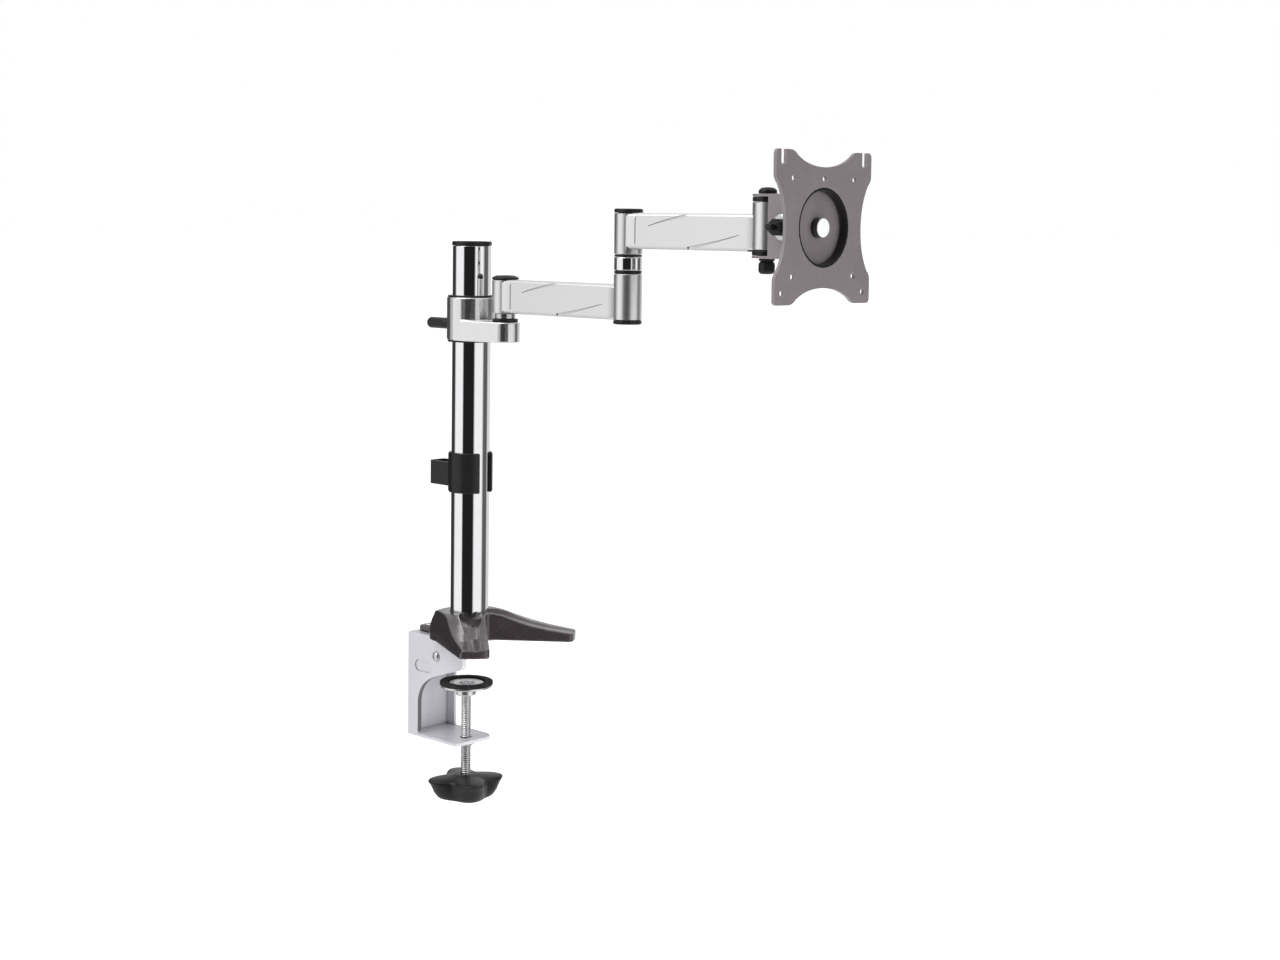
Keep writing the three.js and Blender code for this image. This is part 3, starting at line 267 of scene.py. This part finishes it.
def turned_steel(name, dark, light, metallic, face_mm):
    """Steel with turning marks round the piece's own Z axis; more than face_mm up it, painted shade
    turns it black.
    """
    g = Graph(name, Metallic=metallic)
    flat = g.stretched((1, 1, 0))
    reach = g.node("ShaderNodeVectorMath", {0: flat}, operation="LENGTH").outputs["Value"]
    rings = g.node("ShaderNodeTexNoise", {"W": reach, "Scale": 2600}, noise_dimensions="1D").outputs[0]
    cloud = g.noise(70, 3)
    g.bump(rings, 0.005)
    body = g.mix(rings, dark, light)
    body = g.mix(g.band(cloud, 0.5, 0.8, 0, 0.3), body, dark)
    # painted shade: grooves and the sides beside neighbouring pieces are darkened towards (0.10, 0.10,
    # 0.10)
    body = g.mix(g.math("MULTIPLY", g.crevice_shade(2.0), 0.8), body, (0.10, 0.10, 0.10))
    # painted shade: more than face_mm up the piece's Z axis the steel turns near black
    height = g.node("ShaderNodeSeparateXYZ", {0: g.place}).outputs[2]
    side_shade = g.band(height, face_mm * MM, (face_mm + 0.2) * MM, 0, 1)
    body = g.mix(side_shade, body, (0.03, 0.029, 0.03))
    return g.finish(body, g.band(rings, 0.3, 0.7, 0.20, 0.34))


def satin_steel():
    return turned_steel("satin_steel", (0.66, 0.66, 0.67), (0.84, 0.84, 0.84), 0.95, ALL_BRIGHT)


# painted highlight: light steel made near white and barely metallic, for the glint on the spindle's
# face
def glint_painted_steel():
    return turned_steel("glint_painted_steel", (0.86, 0.86, 0.86), (0.98, 0.98, 0.98), 0.1, SPINDLE_FACE)


def dark_cast():
    g = Graph("dark_cast", Metallic=0.7, Coat_Weight=0.6, Coat_Roughness=0.14)
    cloud, grain, flake = g.noise(30, 4), g.noise(1500, 3), g.cells(3000, "Color")
    g.bump(g.noise(60, 2), 0.012)
    g.bump(grain, 0.010)
    body = g.mix(cloud, (0.050, 0.040, 0.043), (0.092, 0.075, 0.080))
    spark = g.band(g.node("ShaderNodeSeparateColor", {0: flake}).outputs[0], 0.8, 1, 0, 0.4)
    body = g.mix(spark, body, (0.34, 0.30, 0.31))
    worn = g.band(g.edges(1.0), 0.35, 1.2, 0, 0.5)
    body = g.mix(worn, body, (0.42, 0.40, 0.40))
    # painted shade: grooves and the sides beside neighbouring pieces are darkened towards (0.012,
    # 0.010, 0.011)
    shaded_body = g.mix(g.math("MULTIPLY", g.crevice_shade(3.0), 0.85), body, (0.012, 0.010, 0.011))
    return g.finish(shaded_body, g.band(grain, 0.3, 0.7, 0.26, 0.38))


def plate_grey():
    g = Graph("plate_grey", Metallic=0.3)
    cloud, grain, fine = g.noise(26, 4), g.noise(900, 3), g.cells(1900)
    g.bump(grain, 0.06)
    g.bump(fine, 0.03)
    body = g.mix(cloud, (0.195, 0.172, 0.182), (0.255, 0.228, 0.240))
    body = g.mix(g.band(fine, 0.0, 0.3, 0.55, 0), body, (0.125, 0.108, 0.116))
    body = g.mix(g.band(grain, 0.55, 0.75, 0, 0.35), body, (0.40, 0.37, 0.385))
    worn = g.band(g.edges(0.7), 0.3, 1.1, 0, 0.5)
    body = g.mix(worn, body, (0.50, 0.47, 0.48))
    # painted shade: grooves, the dish and the sides beside neighbouring pieces are darkened towards
    # (0.030, 0.026, 0.028)
    shaded_body = g.mix(g.math("MULTIPLY", g.crevice_shade(2.4), 0.85), body, (0.030, 0.026, 0.028))
    return g.finish(shaded_body, g.band(grain, 0.3, 0.7, 0.36, 0.54))


def black_plastic():
    g = Graph("black_plastic", Specular_IOR_Level=0.22, Coat_Weight=0.12, Coat_Roughness=0.08)
    cloud, grain = g.noise(40, 3), g.cells(1900)
    g.bump(grain, 0.008)
    g.bump(g.noise(300, 2), 0.008)
    body = g.mix(cloud, (0.0065, 0.006, 0.0063), (0.013, 0.012, 0.0125))
    rubbed = g.band(g.edges(0.8), 0.2, 1.0, 0, 0.3)
    body = g.mix(rubbed, body, (0.06, 0.058, 0.06))
    return g.finish(body, g.band(grain, 0.0, 0.5, 0.24, 0.38))


def rubber():
    g = Graph("rubber", Specular_IOR_Level=0.15)
    dust, grain = g.noise(90, 5), g.noise(2200, 2)
    g.bump(grain, 0.03)
    body = g.mix(g.band(dust, 0.45, 0.75, 0, 1), (0.012, 0.012, 0.012), (0.036, 0.035, 0.034))
    return g.finish(body, g.band(grain, 0.3, 0.7, 0.60, 0.80))


def zinc():
    g = Graph("zinc", Metallic=1.0)
    spangle = g.node("ShaderNodeSeparateColor", {0: g.cells(420, "Color")}).outputs[0]
    stain, grain = g.noise(60, 4), g.noise(1800, 2)
    g.bump(grain, 0.006)
    tone = g.mix(spangle, (0.56, 0.57, 0.59), (0.70, 0.70, 0.70))
    tone = g.mix(g.band(stain, 0.5, 0.8, 0, 0.6), tone, (0.62, 0.59, 0.52))
    # painted shade: grooves and the sides beside neighbouring pieces are darkened towards (0.07, 0.07,
    # 0.07)
    tone = g.mix(g.math("MULTIPLY", g.crevice_shade(1.6), 0.85), tone, (0.07, 0.07, 0.07))
    return g.finish(tone, g.band(spangle, 0, 1, 0.22, 0.38))


LOOKS = {
    make.__name__: make()
    for make in (
        chrome, cast_silver, collar_silver, bracket_silver, satin_steel, glint_painted_steel, dark_cast,
        plate_grey, black_plastic, rubber, zinc,
    )
}
MADE_OF = {
    "chrome": ["pole", "elbow_sleeve"],
    "cast_silver": ["collar", "lower_arm", "upper_arm"],
    "bracket_silver": ["clamp_bracket"],
    "satin_steel": ["pad_disc", "pad_socket", "plate_spindle"],
    "dark_cast": ["foot"],
    "plate_grey": ["pan_bracket", "tilt_block", "vesa_plate"],
    "rubber": ["foot_pad_left", "foot_pad_right", "pad_rubber"],
    "zinc": [
        "pole_plug", "pole_bolt", "bracket_rivet", "bracket_screw_1", "bracket_screw_2", "clamp_nut",
        "clamp_rod", "pad_end_screw", "lower_pivot_bolt", "lower_pivot_bush", "lower_pivot_nut",
        "lock_stud", "elbow_nut", "elbow_bolt", "wrist_bolt", "tilt_pin", "tilt_washer_left",
        "tilt_washer_right", "tilt_knob_washer",
    ],
}
SLOT_OF = {n: slot for slot, names in MADE_OF.items() for n in names}


def slot_of(node):
    return SLOT_OF.get(node, "black_plastic")


# ---- mesh helpers --------------------------------------------------------------------------------
SHARP = math.radians(38)
FLAT = math.radians(0.4)
WELD_REACH = 1e-6
TURN_TO = {
    "X": Matrix.Rotation(math.pi / 2, 4, "Y"),
    "Y": Matrix.Rotation(-math.pi / 2, 4, "X"),
    "Z": Matrix.Identity(4),
}


def smooth_group():
    """Geometry nodes that shade a mesh smooth and keep the edges sharper than SHARP."""
    group = bpy.data.node_groups.new("smooth_by_angle", "GeometryNodeTree")
    for way in ("INPUT", "OUTPUT"):
        group.interface.new_socket("Geometry", in_out=way, socket_type="NodeSocketGeometry")
    made = {
        kind: group.nodes.new(kind)
        for kind in ("NodeGroupInput", "GeometryNodeInputMeshEdgeAngle", "FunctionNodeCompare")
    }
    faces = group.nodes.new("GeometryNodeSetShadeSmooth")
    edges = group.nodes.new("GeometryNodeSetShadeSmooth")
    edges.domain = "EDGE"
    compare = made["FunctionNodeCompare"]
    compare.operation = "LESS_THAN"
    compare.inputs["B"].default_value = SHARP
    link = group.links.new
    link(made["GeometryNodeInputMeshEdgeAngle"].outputs[0], compare.inputs["A"])
    link(made["NodeGroupInput"].outputs[0], faces.inputs["Geometry"])
    link(faces.outputs[0], edges.inputs["Geometry"])
    link(compare.outputs[0], edges.inputs["Shade Smooth"])
    link(edges.outputs[0], group.nodes.new("NodeGroupOutput").inputs[0])
    return group


SMOOTH = smooth_group()


def modifier(piece, kind, **settings):
    made = piece.modifiers.new(kind.lower(), kind)
    for key, value in settings.items():
        setattr(made, key, value)
    return made


def soften(piece, width_mm=0.0):
    """Rounds a piece's sharp edges, and shades it smooth with its flats kept flat."""
    if width_mm:
        modifier(
            piece, "BEVEL", width=width_mm * MM, segments=2, limit_method="ANGLE",
            angle_limit=SHARP, use_clamp_overlap=True,
        )
    modifier(piece, "NODES", node_group=SMOOTH)
    modifier(piece, "WEIGHTED_NORMAL", keep_sharp=True, weight=80)


def dress(piece, slot):
    piece.data.materials.clear()
    piece.data.materials.append(LOOKS[slot])


def refine(node, width_mm):
    """A CAD node that stays: welded, its flats merged, its edges rounded, and its material set."""
    piece = NODES[node]
    modifier(piece, "WELD", merge_threshold=WELD_REACH)
    modifier(piece, "DECIMATE", decimate_type="DISSOLVE", angle_limit=FLAT)
    soften(piece, width_mm)
    dress(piece, slot_of(node))


def cast(node, grid_mm, passes, look):
    """A cast CAD node that stays: every edge is rounded by remeshing and smoothing it."""
    piece = NODES[node]
    modifier(piece, "REMESH", mode="VOXEL", voxel_size=grid_mm * MM, use_smooth_shade=True)
    modifier(piece, "SMOOTH", factor=0.5, iterations=passes)
    dress(piece, look)


def stand_in(name, mesh, node, at, turn=TURN_TO["Z"], look=None):
    """A new piece that takes the place, the body and the material slot of a CAD node."""
    piece = bpy.data.objects.new(name, mesh)
    bpy.context.scene.collection.objects.link(piece)
    piece.matrix_world = Matrix.Translation(at) @ turn
    dress(piece, look or slot_of(node))
    soften(piece)
    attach(piece, BODY_OF[node])
    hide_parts(node)
    return piece


def from_rings(rings, closed=True):
    """A mesh through rings of points in metres. Closed joins the last ring to the first."""
    count = len(rings[0])
    verts = [p for ring in rings for p in ring]
    faces = []
    for k in range(len(rings) if closed else len(rings) - 1):
        a, b = k * count, ((k + 1) % len(rings)) * count
        for i in range(count):
            j = (i + 1) % count
            faces.append((a + i, a + j, b + j, b + i))
    mesh = bpy.data.meshes.new("mesh")
    mesh.from_pydata(verts, [], faces)
    mesh.validate()
    return mesh


SHORTEST_ARC = 1e-6  # mm: a corner with less than this stays a point


def rounded(outline, steps):
    """A closed outline of (u, v, radius) corners in mm, each corner turned into an arc."""
    points = []
    for i, (u, v, r) in enumerate(outline):
        corner = Vector((u, v))
        before = Vector(outline[i - 1][:2]) - corner
        after = Vector(outline[(i + 1) % len(outline)][:2]) - corner
        half = before.angle(after) / 2
        reach = min(r / math.tan(half), 0.49 * before.length, 0.49 * after.length) if r else 0
        if reach < SHORTEST_ARC:
            points.append(corner)
            continue
        start, end = corner + before.normalized() * reach, corner + after.normalized() * reach
        for k in range(steps + 1):
            t, w = k / steps, math.sin(half)
            weights = ((1 - t) ** 2, 2 * t * (1 - t) * w, t * t)
            points.append((start * weights[0] + corner * weights[1] + end * weights[2]) / sum(weights))
    return points


PIN = 1e-4  # mm: points on a lathe's axis are kept this far from it, so that no face folds up


def circle(height, reach, sides=96):
    """A ring of points about Z in metres. Reach is a radius in mm, or gives one for an angle."""
    ring = []
    for i in range(sides):
        t = 2 * math.pi * i / sides
        r = max(reach(t) if callable(reach) else reach, PIN)
        ring.append((r * math.cos(t) * MM, r * math.sin(t) * MM, height * MM))
    return ring


def lathe(profile, sides, steps):
    """A turned mesh about Z from a closed profile of (radius, height, corner radius) in mm."""
    return from_rings([circle(z, r, sides) for r, z in rounded(profile, steps)])


def measure(node, axis="Z"):
    """Where a round node's axis starts, its outer radius and its length in mm."""
    low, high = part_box(node)
    k = "XYZ".index(axis)
    start = (low + high) / 2
    start[k] = low[k]
    across = max(high[i] - low[i] for i in range(3) if i != k)
    return start, across / 2 / MM, (high[k] - low[k]) / MM


def turned(name, node, shape, axis="Z", sides=96, look=None, steps=4):
    """A fine turned piece in place of a round CAD node: shape(radius, length) gives its profile."""
    start, r, length = measure(node, axis)
    stand_in(name, lathe(shape(r, length), sides, steps), node, start, TURN_TO[axis], look)


def ring_shape(bore, edge=0.3):
    return lambda r, h: [(bore, 0, 0), (r, 0, edge), (r, h, edge), (bore, h, 0)]


# ---- pole, sleeves and caps ----------------------------------------------------------------------
POLE_WALL = 2.0
CAP_SKIRT = 9.0  # how far the pole's cap reaches down inside it
SPIGOT = 8.7  # radius of the plugs under the pivot caps
BOLT_BORE = 4.3  # radius of the holes that the 8 mm bolts, pins and studs go through
ELBOW_BORE = 5.3
BUSH_BORE = 17.8
BUSH_SKIN = 19.5  # radius of the bush's part inside the collar


def pole_cap_shape(r, h):
    inside = measure("pole")[1] - POLE_WALL - 0.3
    rim = CAP_SKIRT + 0.3
    return [
        (0, h - 0.8, 0), (r * 0.55, h - 0.7, 3), (r - 3.4, h - 0.9, 0.3), (r - 2.6, h, 0.3),
        (r, h, 1.3), (r, rim, 0.5), (inside, rim, 0.2), (inside, 0, 0.6), (inside - 2, 0, 0.4),
        (inside - 2, CAP_SKIRT - 1, 0), (0, CAP_SKIRT - 1, 0),
    ]


def domed_cap(base, rim):
    """A cap with a low dome, on a plug of the height base."""
    return lambda r, h: [
        (0, 0, 0), (SPIGOT, 0, 0.4), (SPIGOT, base, 0), (r, base, 0.3), (r, base + rim, 1.1),
        (r * 0.72, h - 0.5, 4), (0, h, 0),
    ]


def flat_cap(r, h):
    return [
        (0, 0, 0), (SPIGOT, 0, 0.4), (SPIGOT, 3.7, 0), (r, 3.7, 0.3), (r, h, 1.3), (0, h - 0.1, 0),
    ]


def under_cap(r, h):
    return [
        (0, 0, 0), (r, 0, 1.2), (r, 3.1, 0.3), (SPIGOT, 3.1, 0), (SPIGOT, h, 0.4), (0, h, 0),
    ]


def upper_bush(r, h):
    return [
        (BUSH_BORE, 0, 0.2), (BUSH_SKIN, 0, 0.3), (BUSH_SKIN, h - 1.2, 0), (r, h - 1.2, 0.2),
        (r, h, 0.5), (BUSH_BORE, h, 0.4),
    ]


def lower_bush(r, h):
    return [(reach, h - z, edge) for reach, z, edge in reversed(upper_bush(r, h))]


def make_column():
    pole = measure("pole")[1]
    turned("pole_tube", "pole", ring_shape(pole - POLE_WALL, 0.5), sides=160)
    turned("pole_end_cap", "pole_cap", pole_cap_shape, sides=128)
    turned("bush_upper", "collar_bush_top", upper_bush, sides=128)
    turned("bush_lower", "collar_bush_bottom", lower_bush, sides=128)
    turned("neck_ring", "lower_friction_ring", ring_shape(BOLT_BORE))
    turned("pivot_dome", "lower_pivot_cap", domed_cap(2.8, 1.4))
    turned("elbow_chrome", "elbow_sleeve", ring_shape(ELBOW_BORE, 0.7), sides=128)
    turned("elbow_seal_low", "elbow_ring_lower", ring_shape(ELBOW_BORE))
    turned("elbow_seal_high", "elbow_ring_upper", ring_shape(ELBOW_BORE))
    turned("elbow_cap_high", "elbow_top_cap", flat_cap)
    turned("elbow_cap_low", "elbow_bottom_cap", under_cap)
    turned("wrist_seal_high", "wrist_washer_upper", ring_shape(BOLT_BORE, 0.5))
    turned("wrist_seal_low", "wrist_washer_lower", ring_shape(BOLT_BORE, 0.5))


# ---- head: spindle, black ring for the dish's shade, knob with its washer, wrist nut and cap ------
def spindle_shape(r, h):
    return [(0, 0, 0), (r, 0, 0.6), (r, 5.2, 0.3), (4, 5.2, 0), (4, h, 0.4), (0, h, 0)]


# a black ring on the dish's wall: a dark piece put there for the shade on that wall
def dish_shade_ring(r, h):
    return [(r - 1.6, 0, 0.1), (r, 0, 0.1), (r, 0.6, 0), (r - 1, h, 0), (r - 2.5, h, 0)]


def knob_washer(r, h):
    return [
        (BOLT_BORE, 0, 0), (r - 1.8, 0, 0.2), (r, 0.5, 0.3), (r, h, 0.1), (BOLT_BORE, h, 0),
    ]


def ball_nut(r, h):
    return [
        (0, 0, 0), (r, 0, 6.3), (r, 8.6, 3.4), (4.9, 10.3, 0.3), (6.4, 10.7, 0.2), (6.4, h, 0.1),
        (BOLT_BORE, h, 0), (BOLT_BORE, 5.2, 0), (0, 5.2, 0),
    ]


def bolt_cover(r, h):
    return [
        (6.5, 0, 0), (r, 0, 0.2), (r, 2.6, 1.6), (r * 0.7, h - 0.5, 3), (0, h, 0), (0, 2.5, 0),
        (6.5, 2.5, 0),
    ]


def make_tilt_knob():
    """The ribbed grip with its stub, along X: the stub points away from the head."""
    start, _, length = measure("tilt_knob", "X")
    grip, stub, flutes = 6.6, 2.9, 10
    foot = length - 8.6  # where the grip begins
    bore_end = length - 6.5

    def fluted(r, share):
        return lambda t: r - 0.75 * share * max(0, math.cos(flutes * t)) ** 2

    rings = [
        circle(0, 0), circle(0, stub - 0.5), circle(0.15, stub - 0.15), circle(0.5, stub),
        circle(foot - 0.3, stub), circle(foot, stub + 0.4), circle(foot, fluted(grip - 0.9, 0.6)),
        circle(foot + 0.2, fluted(grip - 0.3, 1)), circle(foot + 0.8, fluted(grip, 1)),
        circle(length - 2.2, fluted(grip, 1)), circle(length - 1.4, fluted(grip, 0)),
        circle(length - 0.4, grip), circle(length - 0.1, grip - 0.3), circle(length, grip - 0.6),
        circle(length, BOLT_BORE), circle(bore_end, BOLT_BORE), circle(bore_end, 0),
    ]
    mesh = from_rings(rings, closed=False)
    stand_in("tilt_grip", mesh, "tilt_knob", start, TURN_TO["X"])


def make_head():
    turned("spindle_head", "plate_spindle", spindle_shape, "Y", look="glint_painted_steel")
    turned("dish_shade_ring", "dish_ring", dish_shade_ring, "Y", sides=128)
    turned("grip_washer", "tilt_knob_washer", knob_washer, "X")
    turned("wrist_ball_nut", "wrist_cap_nut", ball_nut, steps=10)
    turned("wrist_bolt_cover", "wrist_bolt_cap", bolt_cover)
    make_tilt_knob()


# ---- clamp: pad, screw and star knob -------------------------------------------------------------
STUD_HOLE = 14.3  # depth of the lock stud's hole in its handle


def pad_ring(r, h):
    bore = r - 7.2
    return [(bore, 0, 0), (r, 0, 0.3), (r, h, 1.1), (bore, h, 0.9)]


def pad_plate(r, h):
    return [
        (3.6, 0, 0), (r, 0, 0.8), (r - 0.3, 2, 0.3), (r - 7.6, 2, 0.2), (r - 8.2, h, 0.8),
        (8.4, h - 0.4, 0.8), (7.4, 1.4, 0.4), (3.6, 1.4, 0),
    ]


def pad_cup(r, h):
    return [
        (5, 0, 0), (8.8, 0, 0.5), (9.6, 1.2, 0.4), (9.6, 5, 0.6), (r, 6.1, 0.5), (r, h, 0.3),
        (5, h, 0),
    ]


def handle_shape(r, h):
    return [
        (BOLT_BORE, 0, 0), (r, 0, 0.5), (r, 4.2, 0.6), (r - 1, 5, 0.4), (r - 1, 7, 0.8),
        (r - 0.5, 9.5, 3), (r - 0.5, h - 2.4, 3), (r - 2, h, 2.2), (0, h, 0),
        (0, STUD_HOLE, 0), (BOLT_BORE, STUD_HOLE, 0),
    ]


def sole_pad(r, h):
    return [(0, 0, 0), (r, 0, 0.3), (r, h, 0.3), (0, h, 0)]


PITCH = 2.0
THREAD_DEPTH = 0.45
THREAD_FADE = 1.5  # length over which the thread starts and ends


def make_screw():
    """The clamp rod with its thread, and the thin neck that holds the pad."""
    start, r, length = measure("clamp_rod")
    neck = length - 5.5  # height of the last thread
    sides, step = 64, PITCH / 10

    def thread(z):
        ends = max(0, min(1, (neck - z) / THREAD_FADE, z / THREAD_FADE))

        def reach(t):
            phase = (z / PITCH - t / (2 * math.pi)) % 1
            flank = min(1, max(0, abs(2 * phase - 1) * 1.6 - 0.3))
            return r - THREAD_DEPTH * (1 - flank * ends)

        return reach

    rings = [circle(0, 0, sides)]
    rings += [circle(k * step, thread(k * step), sides) for k in range(int(neck / step))]
    for reach, z in ((r - 1.4, neck + 0.4), (2.4, neck + 0.8), (2.4, length - 0.3), (2.1, length)):
        rings.append(circle(z, reach, sides))
    rings.append(circle(length, 0, sides))
    stand_in("clamp_thread", from_rings(rings, closed=False), "clamp_rod", start)


# height share, radius between the lobes, radius at a lobe's tip
KNOB_LAYERS = [
    (0, 0, 0), (0, 17.5, 21.5), (0.01, 19.3, 23.4), (0.04, 20.6, 25.2), (0.09, 21.4, 26.6),
    (0.18, 22, 28.2), (0.3, 22.5, 30), (0.45, 22.8, 31.4), (0.6, 23, 33), (0.68, 22.8, 34.2),
    (0.74, 22.4, 35.1), (0.79, 21.6, 35.3), (0.83, 20.4, 34.6), (0.865, 18.8, 32), (0.9, 16, 27),
    (0.925, 13.9, 20.5), (0.95, 12, 15), (0.975, 10.5, 11.4), (0.993, 9.4, 9.8), (1, 8.6, 8.9),
    (1, 5, 5), (0.5, 5, 5), (0.5, 0, 0),
]


def make_star_knob():
    centre = measure("clamp_rod")[0]
    low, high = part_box("clamp_knob")
    centre.z = low.z
    height = (high.z - low.z) / MM
    tips = [(v.co - centre).to_2d() for v in NODES["clamp_knob"].data.vertices]
    lobe = max(tips, key=lambda tip: tip.length)
    facing = math.atan2(lobe.y, lobe.x)

    def reach(waist, tip):
        return lambda t: waist + (tip - waist) * math.cos(2 * (t - facing)) ** 2

    rings = [circle(z * height, reach(waist, tip), 144) for z, waist, tip in KNOB_LAYERS]
    stand_in("clamp_star_knob", from_rings(rings, closed=False), "clamp_knob", centre)


def make_clamp():
    turned("pad_face_ring", "pad_rubber", pad_ring)
    turned("pad_steel", "pad_disc", pad_plate)
    turned("pad_cup", "pad_socket", pad_cup)
    turned("lock_grip", "lock_handle", handle_shape, "Y")
    turned("sole_left", "foot_pad_left", sole_pad)
    turned("sole_right", "foot_pad_right", sole_pad)
    make_screw()
    make_star_knob()


make_column()
make_head()
make_clamp()


# ---- CAD nodes that stay, with rounded edges and their own materials -----------------------------
CASTINGS = {"foot": (0.7, 8, "dark_cast"), "collar": (0.5, 6, "collar_silver")}
WIDTHS = {
    "lower_arm": 0.5, "upper_arm": 0.5, "clamp_bracket": 0.5,
    "vesa_plate": 0.4, "tilt_block": 0.4, "pan_bracket": 0.4, "cable_clip": 0.35,
}
for node_name in sorted(NODES):
    if node_name in CASTINGS:
        cast(node_name, *CASTINGS[node_name])
    elif not NODES[node_name].hide_render:
        refine(node_name, WIDTHS.get(node_name, 0.2))


# ---- studio: white room with dark and light panels, pale floor, soft lights ----------------------
# azimuth in degrees and brightness; between two rows the brightness runs from one to the other
PANELS = [
    (-180, 0.04), (-156, 0.04), (-144, 1), (-94, 1), (-88, 0.015), (-26, 0.015), (-17, 1), (29, 1),
    (40, 0.12), (68, 0.12), (79, 0.75), (138, 0.75), (150, 0.5), (166, 0.04), (180, 0.04),
]
FLOOR_Z = -0.195


def make_world():
    world = bpy.data.worlds.new("studio")
    bpy.context.scene.world = world
    world.use_nodes = True
    tree = world.node_tree
    add, link = tree.nodes.new, tree.links.new

    def calc(operation, a, b):
        made = add("ShaderNodeMath")
        made.operation = operation
        for socket, value in zip(made.inputs, (a, b)):
            if isinstance(value, bpy.types.NodeSocket):
                link(value, socket)
            else:
                socket.default_value = value
        return made.outputs[0]

    def ramp(value, stops):
        made = add("ShaderNodeValToRGB")
        link(value, made.inputs[0])
        elements = made.color_ramp.elements
        while len(elements) < len(stops):
            elements.new(0.5)
        for element, (position, level) in zip(elements, stops):
            element.position = position
            element.color = (level, level, level, 1)
        return made.outputs[0]

    def blend(factor, a, b):
        made = add("ShaderNodeMix")
        made.data_type = "RGBA"
        for socket, value in ((made.inputs[0], factor), (made.inputs[6], a), (made.inputs[7], b)):
            if isinstance(value, bpy.types.NodeSocket):
                link(value, socket)
            else:
                socket.default_value = value
        return made.outputs[2]

    axes = add("ShaderNodeSeparateXYZ")
    link(add("ShaderNodeTexCoord").outputs["Generated"], axes.inputs[0])
    x, y, z = axes.outputs
    turn = calc("ARCTAN2", x, calc("MULTIPLY", y, -1.0))
    turn = calc("ADD", calc("DIVIDE", turn, 2 * math.pi), 0.5)
    panels = ramp(turn, [((azimuth + 180) / 360, level) for azimuth, level in PANELS])
    open_share = ramp(calc("ADD", calc("MULTIPLY", z, 0.5), 0.5), [
        (0.18, 1), (0.30, 0), (0.72, 0), (0.84, 1),
    ])
    room = blend(open_share, panels, (0.92, 0.92, 0.93, 1))
    seen = add("ShaderNodeLightPath").outputs["Is Camera Ray"]
    link(blend(seen, room, (1, 1, 1, 1)), tree.nodes["Background"].inputs["Color"])


def make_floor():
    size = 60
    mesh = bpy.data.meshes.new("floor")
    corners = [(-size, -size, 0), (size, -size, 0), (size, size, 0), (-size, size, 0)]
    mesh.from_pydata(corners, [], [(0, 1, 2, 3)])
    floor = bpy.data.objects.new("floor", mesh)
    bpy.context.scene.collection.objects.link(floor)
    floor.location.z = FLOOR_Z
    look = Graph("floor", Emission_Color=(1, 1, 1, 1), Emission_Strength=0.62)
    mottle = look.noise(3, 4)
    color = look.mix(mottle, (0.60, 0.60, 0.60), (0.64, 0.64, 0.64))
    floor.data.materials.append(look.finish(color, look.band(mottle, 0, 1, 0.8, 0.9)))
    floor.visible_glossy = False


def soft_light(name, azimuth, elevation, distance, size, energy, target, mirrored=False):
    """A round area light that faces a point. Shiny pieces show it only if it is mirrored."""
    data = bpy.data.lights.new(name, "AREA")
    data.shape = "DISK"
    data.size = size
    data.energy = energy
    light = bpy.data.objects.new(name, data)
    bpy.context.scene.collection.objects.link(light)
    back = compass(azimuth, elevation)
    light.location = target + back * distance
    light.visible_glossy = mirrored
    light.rotation_euler = back.to_track_quat("Z", "Y").to_euler()


make_world()
make_floor()
MIDDLE = (Vector(cad_box[0]) + Vector(cad_box[1])) / 2
soft_light("key", -110, 50, 2.2, 1.6, 22, MIDDLE, mirrored=True)
soft_light("fill", 35, 35, 2.6, 2.0, 12, MIDDLE)
CLAMP_MIDDLE = sum(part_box("clamp_bracket"), Vector()) / 2
soft_light("clamp_fill", -8, -4, 0.6, 0.3, 2.2, CLAMP_MIDDLE)
bpy.context.scene.view_settings.view_transform = "Standard"
